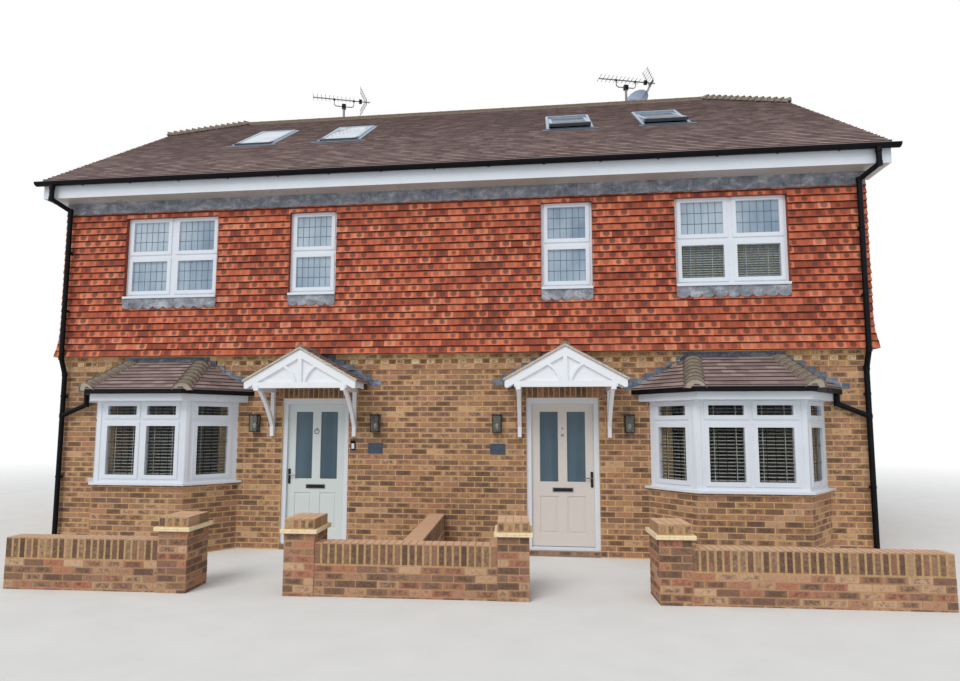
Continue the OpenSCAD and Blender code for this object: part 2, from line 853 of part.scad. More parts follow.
// Downpipe from the gutter's outlet by a swan neck, past the kick of the tiles, to the ground
module downpipe() {
    y_gut = front_y - fascia_reach - gutter_dia / 2 - 6;
    y_kick = front_y - kick_out - pipe_dia / 2 - 14;
    y_low = front_y - pipe_dia / 2 - corbel_top_out - 6;
    pts = [
        [pipe_x + 145, y_gut, up(soffit_h) + 180 - gutter_dia / 2 - seat],
        [pipe_x + 145, y_gut, up(soffit_h) - 30],
        [pipe_x, y_kick, up(soffit_h) - 150],
        [pipe_x, y_kick, up(tile_foot_h) - 20],
        [pipe_x, y_low, up(tile_foot_h) - 260],
        [pipe_x, y_low, 0]
    ];
    for (i = [0:4]) pipe_run(pts[i], pts[i + 1]);
    for (i = [1:4]) pipe_collar(pts[i]);
    pipe_clip(y_kick, front_y - hang_t, up(4300));
    pipe_clip(y_kick, front_y - hang_t, up(3400));
    pipe_clip(y_low, front_y, up(2100));
    pipe_clip(y_low, front_y, up(900));
}

// Branch from a bay's gutter into the front downpipe
module bay_pipe() {
    y = front_y - pipe_dia / 2 - corbel_top_out - 6;
    side = bay_fascia_out - bay_side_less + bay_gutter_w / 2;
    top = [bay_x + bay_wall_half + side / sin(cant) + (y - front_y) / tan(cant), y,
        up(bay_head_h) + bay_gutter_foot - seat];
    bend = [top.x, y, top.z - 130];
    branch = [pipe_x, y, top.z - 290];
    pipe_run(top, bend);
    pipe_run(bend, branch);
    pipe_collar(bend);
    pipe_collar(branch);
}

module downpipes() {
    color("black") both() {
        front_and_back() downpipe();
        bay_pipe();
    }
}

// Window frame with sashes: lights is a list of [left, right, foot, head] of the glass, from the frame's
// lower left corner; the outer frame is set back from the sashes
module window_frame(w, h, lights) {
    difference() {
        translate([0, -frame_out, 0]) cube([w, frame_d, h]);
        for (l = lights) translate([l[0], -frame_out - 1, l[2]]) cube([l[1] - l[0], frame_d + 2, l[3] - l[2]]);
        difference() {
            translate([-1, -frame_out - 1, -1]) cube([w + 2, 13, h + 2]);
            for (l = lights) translate([l[0] - sash_w, -frame_out - 2, l[2] - sash_w])
                cube([l[1] - l[0] + 2 * sash_w, 15, l[3] - l[2] + 2 * sash_w]);
        }
    }
}

// Lights of a window with the given number of columns and two rows, over a sill of 35
function window_lights(w, h, cols) = let (
    side = frame_w + sash_w,
    mullion = 2 * sash_w + 63,
    lw = (w - 2 * side - (cols - 1) * mullion) / cols,
    foot = 35 + side,
    head = 55,
    transom = 157,
    lh = (h - foot - head - transom) / 2
) [for (c = [0:cols - 1], r = [0:1])
    [side + c * (lw + mullion), side + c * (lw + mullion) + lw,
     foot + r * (lh + transom), foot + r * (lh + transom) + lh]];

// A window in the wall with its sill board
module wall_window(x, w, foot, head, cols) {
    translate([x, front_y, foot]) {
        window_frame(w, head - foot, window_lights(w, head - foot, cols));
        translate([0, 5 - kick_out, 0]) cube([w, kick_out + 7 - frame_out, 32]);
    }
}

module panes(x, w, foot, head, cols) {
    for (l = window_lights(w, head - foot, cols))
        block([x + l[0], front_y + 5, foot + l[2]], [x + l[1], front_y + 5 + glass_t, foot + l[3]]);
}

module upper_windows() {
    color("white") both() {
        wall_window(big_in, big_w, up(sill_h), up(head_h), 2);
        wall_window(small_in, small_w, up(sill_h), up(head_h), 1);
    }
}

module back_windows() {
    color("white") rotate([0, 0, 180]) both() {
        wall_window(big_in, big_w, up(sill_h), up(head_h), 2);
        wall_window(small_in, small_w, up(sill_h), up(head_h), 1);
        wall_window(big_in, big_w, up(bay_sill_h), up(door_frame_h), 2);
    }
}

module window_glass() {
    color("lightblue") {
        front_and_back() both() {
            panes(big_in, big_w, up(sill_h), up(head_h), 2);
            panes(small_in, small_w, up(sill_h), up(head_h), 1);
        }
        rotate([0, 0, 180]) both() {
            panes(big_in, big_w, up(bay_sill_h), up(door_frame_h), 2);
            translate([door_x, front_y + door_set, 0]) block([-300, 46, up(950)], [300, 64, up(1880)]);
        }
    }
}

// Lead apron with a scalloped foot under an upper window
module apron(x, w, scallops) {
    step = w / scallops;
    y = front_y - hang_t - 17;
    along_y(y, y + 17 - seat) translate([x, up(sill_h)]) {
        translate([0, -110]) square([w, 110]);
        for (i = [0:scallops - 1]) translate([(i + 0.5) * step, -110])
            scale([step / 2, 50]) circle(r = 1, $fn = 32);
    }
}

module lead_aprons() {
    color("slategray") front_and_back() both() {
        apron(big_in, big_w, 9);
        apron(small_in, small_w, 5);
    }
}

// Door frame with a rebate for the leaf, open inwards, and a threshold
module door_frame() {
    rebate = jamb_w - 12 - leaf_gap;
    stop = jamb_d - leaf_t - 8;
    translate([-door_frame_w / 2, front_y + door_set, 0]) difference() {
        translate([0, 0, up(0)]) cube([door_frame_w, jamb_d, door_frame_h]);
        translate([jamb_w, -1, up(threshold_h)])
            cube([door_frame_w - 2 * jamb_w, jamb_d + 2, door_frame_h - threshold_h - jamb_w - 12]);
        translate([rebate, stop, up(threshold_h)])
            cube([door_frame_w - 2 * rebate, jamb_d, door_frame_h - threshold_h - jamb_w]);
    }
}

module door_frames() {
    color("white") both() translate([door_x, 0, 0]) door_frame();
}

leaf_foot = up(threshold_h) + leaf_gap;
leaf_top = up(door_frame_h) - jamb_w - leaf_gap;
leaf_y = front_y + door_set + jamb_d - leaf_t - 1;
glass_foot = up(922);
glass_top = up(1884);
glass_x = [[-311, -62], [62, 311]];

// Door leaf with two tall glazed openings and two raised panels, about its middle
module door_leaf() {
    difference() {
        translate([-leaf_w / 2, leaf_y, leaf_foot]) cube([leaf_w, leaf_t, leaf_top - leaf_foot]);
        for (g = glass_x) {
            block([g[0], leaf_y - 1, glass_foot], [g[1], leaf_y + leaf_t + 1, glass_top]);
            block([g[0], leaf_y - 1, up(218)], [g[1], leaf_y + 9, up(725)]);
        }
        block([-125, leaf_y - 1, up(798)], [125, leaf_y + leaf_t + 1, up(828)]);
    }
    for (g = glass_x) block([g[0] + 30, leaf_y + 3, up(248)], [g[1] - 30, leaf_y + 9, up(695)]);
}

module door_panes() {
    for (g = glass_x) block([g[0], leaf_y + 10, glass_foot], [g[1], leaf_y + 34, glass_top]);
}

// Letter plate, knocker and lever handle; the lever is on the side away from the party wall
module door_furniture() {
    difference() {
        block([-142, leaf_y - 8, up(784)], [142, leaf_y - seat, up(842)]);
        block([-112, leaf_y - 9, up(802)], [112, leaf_y, up(824)]);
    }
    for (side = [-1, 1]) {
        face = side < 0 ? leaf_y - seat : leaf_y + leaf_t + seat;
        translate([leaf_w / 2 - 45, face, up(955)]) {
            block([-17, side < 0 ? -9 : 0, -105], [17, side < 0 ? 0 : 9, 105]);
            translate([0, 0, 20]) rotate([side < 0 ? 90 : -90, 0, 0]) cylinder(d = 18, h = 46, $fn = 24);
            translate([9, side * 38, 20]) rotate([0, -90, 0]) cylinder(d = 16, h = 118, $fn = 24);
        }
    }
    hinge_knuckles();
}

// Heights of the three butt hinges of a door and their line, relative to the door's middle
hinge_zs = [up(250), up(1000), up(1800)];
hinge_at = [-leaf_w / 2 - leaf_gap / 2, leaf_y + leaf_t + 9];

// Fixed half of the hinges, on the back of the frame
module hinge_pins() {
    for (z = hinge_zs) translate([hinge_at.x, hinge_at.y, z]) {
        cylinder(d = 8, h = 100, $fn = 24);
        for (t = [0, 70]) {
            translate([0, 0, t]) cylinder(d = 14, h = 30, $fn = 24);
            block([-10, -7.7, t], [0, -4, t + 30]);
        }
        block([-38, -7.7, 0], [-8, -4.7, 100]);
    }
}

// Moving half of the hinges, on the back of the leaf
module hinge_knuckles() {
    for (z = hinge_zs) translate([hinge_at.x, hinge_at.y, z]) difference() {
        union() {
            translate([0, 0, 30.5]) cylinder(d = 14, h = 39, $fn = 24);
            block([0, -8.7, 30.5], [12, -5, 69.5]);
            block([9, -8.7, 0], [40, -5.7, 100]);
        }
        cylinder(d = 8.8, h = 100, $fn = 24);
    }
}

module door_hinges() {
    color("silver") {
        on_right_door() hinge_pins();
        on_left_door() hinge_pins();
    }
}

module on_right_door() {
    translate([door_x, 0, 0]) children();
}

module on_left_door() {
    mirror([1, 0, 0]) translate([door_x, 0, 0]) children();
}

module left_door() {
    color("lightgray") on_left_door() door_leaf();
}

module left_door_glass() {
    color("cadetblue") on_left_door() door_panes();
}

// Round boss on a door's face
module boss(z, d, h) {
    translate([0, leaf_y - seat, up(z)]) rotate([90, 0, 0]) cylinder(d = d, h = h, $fn = 32);
}

module left_door_furniture() {
    color("silver") on_left_door() {
        door_furniture();
        boss(1632, 34, 16);
        translate([0, leaf_y - 8, up(1600)]) rotate([90, 0, 0])
            rotate_extrude($fn = 48) translate([34, 0]) circle(d = 10, $fn = 24);
    }
}

module right_door() {
    color("tan") on_right_door() door_leaf();
}

module right_door_glass() {
    color("cadetblue") on_right_door() door_panes();
}

module right_door_furniture() {
    color("silver") on_right_door() {
        door_furniture();
        boss(1650, 30, 8);
        boss(1560, 38, 14);
    }
}

// Plain half-glazed back doors in their frames
module back_doors() {
    color("white") rotate([0, 0, 180]) both() translate([door_x, 0, 0]) {
        door_frame();
        difference() {
            translate([-door_frame_w / 2 + jamb_w - 12 - leaf_gap, front_y + door_set + jamb_d - leaf_t - 8,
                up(threshold_h)])
                cube([leaf_w + 2 * leaf_gap, leaf_t, door_frame_h - threshold_h - jamb_w]);
            block([-300, front_y, up(950)], [300, front_y + wall_t, up(1880)]);
        }
    }
}

// Brick base of each bay
module bay_walls() {
    color("peru") both() translate([bay_x, front_y, 0]) linear_extrude(up(bay_sill_h)) difference() {
        polygon(bay_plan(0));
        polygon(bay_plan(-bay_t));
    }
}

bay_lights_z = [[998, 1673], [1826, 1950]];

// Puts a piece on the middle of a bay's face: 0 is the front, -1 and 1 are the canted sides
module on_bay_face(side) {
    if (side == 0) translate([0, -bay_d, 0]) children();
    else translate([side * (bay_half + bay_wall_half) / 2, -bay_d / 2, 0])
        rotate([0, 0, side * cant]) children();
}

// Glass openings of a bay's three faces
module bay_lights(depth_front, depth_back, grow) {
    for (z = bay_lights_z) {
        for (side = [-1, 1]) on_bay_face(side)
            block([-215 - grow, depth_front, up(z[0]) - grow], [215 + grow, depth_back, up(z[1]) + grow]);
        on_bay_face(0) for (s = [-1, 1])
            block([s > 0 ? 78 - grow : -506 - grow, depth_front, up(z[0]) - grow],
                  [s > 0 ? 506 + grow : -78 + grow, depth_back, up(z[1]) + grow]);
    }
}

// Bay frame with corner posts, mullion, transom and sill board
module bay_window() {
    difference() {
        translate([0, 0, up(bay_sill_h)]) linear_extrude(bay_head_h - bay_sill_h) difference() {
            polygon(bay_plan(-12));
            polygon(bay_plan(-12 - frame_d));
        }
        bay_lights(-5, 150, 0);
        difference() {
            translate([0, 0, up(bay_sill_h) + 40]) linear_extrude(bay_head_h - bay_sill_h - 50) difference() {
                polygon(bay_plan(20));
                polygon(bay_plan(-22));
            }
            bay_lights(-5, 40, sash_w);
            for (s = [-1, 1]) translate([s * bay_half, -bay_d, 0]) rotate([0, 0, s * cant / 2])
                translate([-52, -30, 0]) cube([104, 80, up(bay_head_h)]);
        }
    }
    translate([0, 0, up(bay_sill_h)]) linear_extrude(32) difference() {
        polygon(bay_plan(48));
        polygon(bay_plan(-13));
        translate([-2 * bay_wall_half, 0]) square([4 * bay_wall_half, 100]);
    }
}

module bay_windows() {
    color("white") both() translate([bay_x, front_y, 0]) bay_window();
}

module bay_glass() {
    color("lightblue") both() translate([bay_x, front_y, 0]) bay_lights(42, 42 + glass_t, 0);
}

// Puts a piece of a bay's roof at both bays, at a height above the fascia's foot
module on_bays(h) {
    both() translate([bay_x, front_y, up(bay_head_h) + h]) children();
}

// Boxed fascia of a bay, closed underneath
module bay_fascias() {
    color("white") on_bays(0) linear_extrude(bay_fascia_h) polygon(bay_plan(bay_fascia_out, bay_side_less));
}

// Hipped roof of a bay
module bay_roofs() {
    color("saddlebrown") on_bays(bay_fascia_h) hull() {
        linear_extrude(40) polygon(bay_plan(bay_eaves_out, bay_side_less));
        translate([-bay_top_half, -20, bay_roof_rise - 4]) cube([2 * bay_top_half, 20, 4]);
    }
}

// Gutter round a bay's eaves, under the lowest tiles
module bay_gutters() {
    color("black") on_bays(bay_gutter_foot) difference() {
        linear_extrude(60) difference() {
            polygon(bay_plan(bay_fascia_out + bay_gutter_w, bay_side_less));
            polygon(bay_plan(bay_fascia_out + seat, bay_side_less));
        }
        translate([0, 0, 6]) linear_extrude(80) difference() {
            polygon(bay_plan(bay_fascia_out + bay_gutter_w - 5, bay_side_less));
            polygon(bay_plan(bay_fascia_out + 5, bay_side_less));
        }
        translate([0, 0, bay_fascia_h - bay_gutter_foot - 2]) linear_extrude(80)
            polygon(bay_plan(bay_eaves_out + 4, bay_side_less));
        translate([-3000, 0, -1]) cube([6000, 300, 100]);
    }
}

// Lead over the bay roofs, and in steps beside the roofs of bays and porches
module lead_flashings() {
    color("slategray") both() {
        translate([bay_x, front_y, up(bay_top_h)])
            block([-bay_top_half - 120, -corbel_top_out - 8, 0], [bay_top_half + 120, 0, 64]);
        difference() {
            lead_steps(0);
            along_y(front_y - kick_out, front_y + 1) {
                translate([bay_x, 0]) bay_roof_outline(1);
                translate([porch_x, 0]) porch_roof_outline(1);
            }
        }
    }
}

porch_slope = (porch_apex_h - porch_tip_h - porch_board) / porch_half;
tie_foot_h = porch_tip_h + 10;
tie_w = 80;
arm_w = 66;
porch_roof_t = 38;
rafter_d = 90;
rafter_w = 45;

// Arc band of a brace in the truss: its foot beside the king post, bending out to the barge board
module brace_arc() {
    r = 330;
    translate([-62 - r, up(tie_foot_h) + 20]) difference() {
        circle(r = r + 18, $fn = 96);
        circle(r = r - 18, $fn = 96);
        translate([-2 * r, -2 * r]) square([4 * r, 2 * r]);
        translate([-2 * r, 0]) square([2 * r, 2 * r]);
    }
}

// Gable truss of a porch: barge boards, tie, king post and curved braces before an infill panel
module porch_gable() {
    z0 = up(porch_tip_h);
    front = front_y - porch_d;
    apex = up(porch_apex_h);
    difference() {
        along_y(front, front + 60) {
            polygon([
                [-porch_half, z0 + 12], [-porch_half, z0 + porch_board], [0, apex],
                [porch_half, z0 + porch_board], [porch_half, z0 + 12], [porch_half - 32, z0],
                [0, apex - porch_board - 16], [-porch_half + 32, z0]
            ]);
            intersection() {
                polygon([[-porch_half, z0], [-porch_half, z0 + porch_board - 20], [0, apex - 20],
                    [porch_half, z0 + porch_board - 20], [porch_half, z0]]);
                union() {
                    translate([-bracket_x - arm_w / 2 - 20, up(tie_foot_h)])
                        square([2 * bracket_x + arm_w + 40, tie_w]);
                    polygon([[-34, up(tie_foot_h)], [34, up(tie_foot_h)], [26, apex], [-26, apex]]);
                    brace_arc();
                    mirror([1, 0]) brace_arc();
                }
            }
        }
        for (s = [-1, 1]) block([s * bracket_x - arm_w / 2 - seat, front - 1, z0 - 100],
            [s * bracket_x + arm_w / 2 + seat, front + 61, up(tie_foot_h) + 40 + seat]);
    }
    panel_foot = up(tie_foot_h) + 45;
    panel_half = (apex - 60 - panel_foot) / porch_slope;
    along_y(front + 30, front + 42)
        polygon([[-panel_half, panel_foot], [panel_half, panel_foot], [0, apex - 60]]);
}

module porch_gables() {
    color("white") both() translate([porch_x, 0, 0]) porch_gable();
}

// A pair of rafters under the porch roof, with their feet cut upright, at a distance from the front
module rafter_pair(y) {
    run = porch_half - 6;
    tip = up(porch_apex_h) - run * porch_slope;
    back = front_y - porch_d + y;
    along_y(back, back + rafter_w) polygon([
        [-run, tip - seat], [0, up(porch_apex_h) - seat], [run, tip - seat], [run, tip - rafter_d],
        [run - 50, tip + 50 * porch_slope - rafter_d - 12], [0, up(porch_apex_h) - rafter_d],
        [50 - run, tip + 50 * porch_slope - rafter_d - 12], [-run, tip - rafter_d]
    ]);
}

module porch_rafters() {
    color("white") both() translate([porch_x, 0, 0]) for (y = [0.32, 0.62]) rafter_pair(y * porch_d);
}

// Stained rafters that lie on the wall
module wall_rafters() {
    color("saddlebrown") both() translate([porch_x, 0, 0]) rafter_pair(porch_d - rafter_w - seat);
}

// Gallows bracket: wall post, arm with its end block under the truss, and curved brace
module porch_bracket() {
    top = up(tie_foot_h) + 40;
    foot = up(bracket_foot_h);
    r = 1500;
    translate([-arm_w / 2, 0, 0]) along_x(0, arm_w) translate([front_y, 0])
        translate([-porch_d - 6, top - 74]) square([porch_d + 6 - seat, 74]);
    along_x(-26, 26) translate([front_y, 0]) {
        translate([-60, foot]) square([60 - seat, top - foot - 70]);
        low = [-58, foot + 190];
        high = [120 - porch_d, top - 60];
        mid = (low + high) / 2;
        away = [low.y - high.y, high.x - low.x] / norm(high - low);
        centre = mid + away * sqrt(r * r - pow(norm(high - low) / 2, 2));
        intersection() {
            translate(centre) difference() {
                circle(r = r + 25, $fn = 180);
                circle(r = r - 25, $fn = 180);
            }
            translate([high.x - 60, low.y - 40]) square([low.x - high.x + 60, high.y - low.y + 40]);
        }
    }
}

module porch_brackets() {
    color("white") both() for (s = [-1, 1]) translate([porch_x + s * bracket_x, 0, 0]) porch_bracket();
}

// Two tiled slopes of a porch
module porch_roof() {
    run = porch_half + 20;
    rise = porch_slope * run;
    along_y(front_y - porch_d - 12, front_y) translate([0, up(porch_apex_h) - rise])
        polygon([
            [-run, seat], [0, rise + seat], [run, seat], [run, porch_roof_t - 8], [0, rise + porch_roof_t],
            [-run, porch_roof_t - 8]
        ]);
}

module porch_roofs() {
    color("saddlebrown") both() translate([porch_x, 0, 0]) porch_roof();
}

// Turns the garden walls about the party line on their front face
module in_garden() {
    translate([0, front_y - garden_y, 0]) rotate([0, 0, garden_turn]) children();
}

// Places along the garden wall: its ends and the sides of the gateways
garden_ends = [-4310, 5400];
pier_lefts = [-2585, -1212, 1015, 2622];

module garden_walls() {
    runs = [[garden_ends[0], pier_lefts[0]], [pier_lefts[1] + pier_w, pier_lefts[2]],
        [pier_lefts[3] + pier_w, garden_ends[1]]];
    color("peru") in_garden() for (r = runs) block([r[0], 12, 0], [r[1], 12 + garden_t, garden_h]);
}

// Wall between the two front gardens, square to the street wall, up to the front of the houses
module dividing_wall() {
    x = 104;
    color("peru") difference() {
        in_garden() block([x - garden_t / 2, 12 + garden_t + seat, 0],
            [x + garden_t / 2, garden_y + 200, garden_h]);
        block([-1000, front_y - seat, -1], [1000, 0, garden_h + 1]);
    }
}

module gate_piers() {
    color("peru") in_garden() for (x = pier_lefts) block([x, 0, 0], [x + pier_w, pier_d, pier_h]);
}

// Projecting tile course and brick-on-edge cap of each pier
module pier_caps() {
    color("tan") in_garden() for (x = pier_lefts) {
        block([x - 35, -35, pier_h], [x + pier_w + 35, pier_d + 35, pier_h + 42]);
        block([x, 0, pier_h + 42], [x + pier_w, pier_d, pier_h + 147]);
    }
}

// Places of the lanterns beside both doors
module at_lanterns() {
    both() for (x = [lantern_in, lantern_out]) translate([x, front_y, up(lantern_foot_h)]) children();
}

// Box lantern: back plate, foot, lid with a lip, and posts at its front corners
module wall_lanterns() {
    post = 10;
    w = lantern_w / 2;
    color("black") at_lanterns() {
        block([-w, -8, 0], [w, -seat, lantern_h - 8]);
        block([-w, -lantern_d, 0], [w, -8, 14]);
        block([-w - 5, -lantern_d - 5, lantern_h - 16], [w + 5, -seat, lantern_h]);
        for (x = [-w, w - post]) block([x, -lantern_d, 14], [x + post, post - lantern_d, lantern_h - 16]);
        translate([0, -lantern_d / 2, 14]) cylinder(d = 30, h = 40, $fn = 24);
    }
}

// Panes between the posts of each lantern
module lantern_glass() {
    post = 10;
    w = lantern_w / 2;
    color("lightblue") at_lanterns() {
        block([post - w, 3 - lantern_d, 14], [w - post, 6 - lantern_d, lantern_h - 16]);
        for (x = [3 - w, w - 6]) block([x, post - lantern_d, 14], [x + 3, -8, lantern_h - 16]);
    }
}

// Bell push beside the left door
module door_bell() {
    bell_w = 64;
    color("black") translate([-door_in + 75, front_y, up(1344)])
        block([-bell_w / 2, -24, 0], [bell_w / 2, -seat, 2 * bell_w]);
}

module number_plates() {
    color("darkslategray") both() translate([plate_x, front_y, up(plate_foot_h)])
        block([-plate_w / 2, -10, 0], [plate_w / 2, -seat, plate_h]);
}

ground_floor();
front_wall_piers();
front_wall_bands();
back_wall_piers();
back_wall_bands();
gable_walls();
party_wall();
upper_floors();
front_tile_hanging();
side_tile_hanging();
back_tile_hanging();
corbel_courses();
lead_bands();
front_roof();
back_roof();
half_hips();
ridge_tiles();
hip_tiles();
rooflight_frames();
rooflight_sashes();
rooflight_glass();
tv_aerials();
satellite_dish();
fascias_and_soffits();
bargeboards();
gutters();
downpipes();
upper_windows();
back_windows();
window_glass();
lead_aprons();
back_doors();
bay_walls();
bay_windows();
bay_glass();
bay_fascias();
bay_roofs();
bay_gutters();
lead_flashings();
porch_gables();
porch_brackets();
porch_rafters();
wall_rafters();
porch_roofs();
door_frames();
door_hinges();
left_door();
left_door_glass();
left_door_furniture();
right_door();
right_door_glass();
right_door_furniture();
garden_walls();
dividing_wall();
gate_piers();
pier_caps();
wall_lanterns();
lantern_glass();
door_bell();
number_plates();
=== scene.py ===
import math
import random
from math import cos, hypot, radians, sin, tan

import bpy
from mathutils import Matrix, Vector


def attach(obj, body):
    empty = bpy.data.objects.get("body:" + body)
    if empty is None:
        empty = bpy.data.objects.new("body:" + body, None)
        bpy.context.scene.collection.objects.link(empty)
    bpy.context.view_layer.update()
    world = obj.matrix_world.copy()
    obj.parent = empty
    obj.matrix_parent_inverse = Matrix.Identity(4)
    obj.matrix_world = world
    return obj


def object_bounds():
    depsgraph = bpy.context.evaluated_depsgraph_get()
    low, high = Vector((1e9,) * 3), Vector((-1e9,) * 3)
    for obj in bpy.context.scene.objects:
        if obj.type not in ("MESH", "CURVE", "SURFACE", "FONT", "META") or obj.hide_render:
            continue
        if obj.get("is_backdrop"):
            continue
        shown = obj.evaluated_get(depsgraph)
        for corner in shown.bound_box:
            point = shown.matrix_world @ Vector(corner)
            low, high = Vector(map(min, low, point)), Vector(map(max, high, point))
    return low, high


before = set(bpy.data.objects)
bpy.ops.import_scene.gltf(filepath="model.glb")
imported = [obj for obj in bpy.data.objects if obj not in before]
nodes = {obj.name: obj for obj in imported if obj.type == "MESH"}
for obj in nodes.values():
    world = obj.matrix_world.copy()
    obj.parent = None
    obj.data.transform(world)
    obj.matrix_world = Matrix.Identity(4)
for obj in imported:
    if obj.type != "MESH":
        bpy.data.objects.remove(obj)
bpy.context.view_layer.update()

# Bricks and tiles as they are laid, in metres
COURSE, JOINT = 0.075, 0.010
STRETCHER, HEADER = 0.215, 0.1025
BRICK_OUT, SINK, SLIVER = 0.003, -0.002, 0.012
GAUGE, TILE_W, TILE_GAP = 0.100, 0.165, 0.002

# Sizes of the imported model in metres: X from the party line, Y to the back, Z up
DRIVE = 0.075
HALF_W, WALL_Y = 5.745, -3.540
TILE_FOOT, SOFFIT = 2.785, 5.185
CORBEL_FOOT = TILE_FOOT - 3 * COURSE
HANG, LEAD_BAND, APRON = 0.070, 0.180, 0.106
PITCH = radians(36)
EAVES_Y, EDGE_Z = -3.890, 5.463
RIDGE_Z = EDGE_Z - EAVES_Y * tan(PITCH)
RIDGE_X, RIDGE_R = 4.707, 0.100
VERGE_X, ROOF_T = 6.031, 0.247
HIP_Z = 7.635
HIP_Y = EAVES_Y + (HIP_Z - EDGE_Z) / tan(PITCH)
LIGHT_Y, LIGHT_XS, LIGHT_HALF = WALL_Y + 1.340, (2.000, 3.570), 0.400
SILL_Z, HEAD_Z = DRIVE + 3.588, DRIVE + 4.840
PANE_TOP = SILL_Z + 0.127 + 0.457
BIG_X, BIG_W = 4.071, 1.485
SMALL_X, SMALL_W = 1.850, 0.713
DOOR_X, DOOR_W, DOOR_TOP = 1.765, 0.990, DRIVE + 2.075
LEAF_W, LEAF_Y = 0.878, WALL_Y + 0.068
BAY_X, BAY_HALF, BAY_WALL, BAY_D = 4.060, 0.668, 1.149, 0.593
CANT = math.atan2(BAY_D, BAY_WALL - BAY_HALF)
BAY_SILL, BAY_HEAD = DRIVE + 0.862, DRIVE + 2.018
BAY_BOX = BAY_HEAD + 0.132
BAY_RIDGE_HALF = 0.540
PORCH_X, PORCH_HALF, PORCH_D, PORCH_APEX = 1.788, 0.786, 0.594, DRIVE + 2.722
PORCH_SLOPE = (2.722 - 2.181 - 0.100) / PORCH_HALF
LANTERN_XS, LANTERN_Y, LANTERN_BASE = (0.865, 2.660), WALL_Y - 0.0525, DRIVE + 1.590 + 0.054
BELL_X, BELL_Z, BELL_HALF, BELL_H = -1.195, DRIVE + 1.356, 0.020, 0.076

# Garden walls and piers, in their own frame that is turned a little from the houses
GARDEN_TURN = radians(1.96)
GARDEN_Y = WALL_Y - 2.236
GARDEN_H, SOLDIER_H = 0.540, 0.220
GARDEN_FRONT, GARDEN_BACK = 0.012, 0.227
WALL_RUNS = ((-4.310, -2.585), (-0.892, 1.015), (2.942, 5.400))
DIVIDE_LEFT, DIVIDE_RIGHT, DIVIDE_FRONT, DIVIDE_BACK = -0.0035, 0.2115, 0.2285, 2.228
PIER_XS = (-2.585, -1.212, 1.015, 2.622)
PIER_W, PIER_D, PIER_H = 0.320, 0.440, 0.637
CAP_OVER, CAP_TILE, CAP_BRICK = 0.0375, 0.1317, 0.080


mats = {}


def linear(colour):
    """A colour for a socket: three values from 0 to 255 are made linear, and four are linear already."""
    def one(c):
        return c / 12.92 if c <= 0.04045 else ((c + 0.055) / 1.055) ** 2.4
    return colour if len(colour) == 4 else (*(one(c / 255) for c in colour), 1.0)


def scaled(colour, k):
    """A colour made brighter or darker by a factor."""
    return (*(c * k for c in linear(colour)[:3]), 1.0)


def assign(thing, **values):
    """Set properties of a thing and give it back."""
    for key, value in values.items():
        setattr(thing, key, value)
    return thing


def add_object(name, data):
    """A new object in the scene."""
    obj = bpy.data.objects.new(name, data)
    bpy.context.scene.collection.objects.link(obj)
    return obj


def feed(tree, socket, value):
    """Link a node's output to a socket, or set the socket to a plain value."""
    if isinstance(value, bpy.types.NodeSocket):
        tree.links.new(value, socket)
    else:
        socket.default_value = linear(value) if socket.type == "RGBA" else value


def add_node(tree, kind, ins=None, **props):
    """A new shader node with its properties set and its inputs fed."""
    node = assign(tree.nodes.new("ShaderNode" + kind), **props)
    for key, value in (ins or {}).items():
        feed(tree, node.inputs[key], value)
    return node


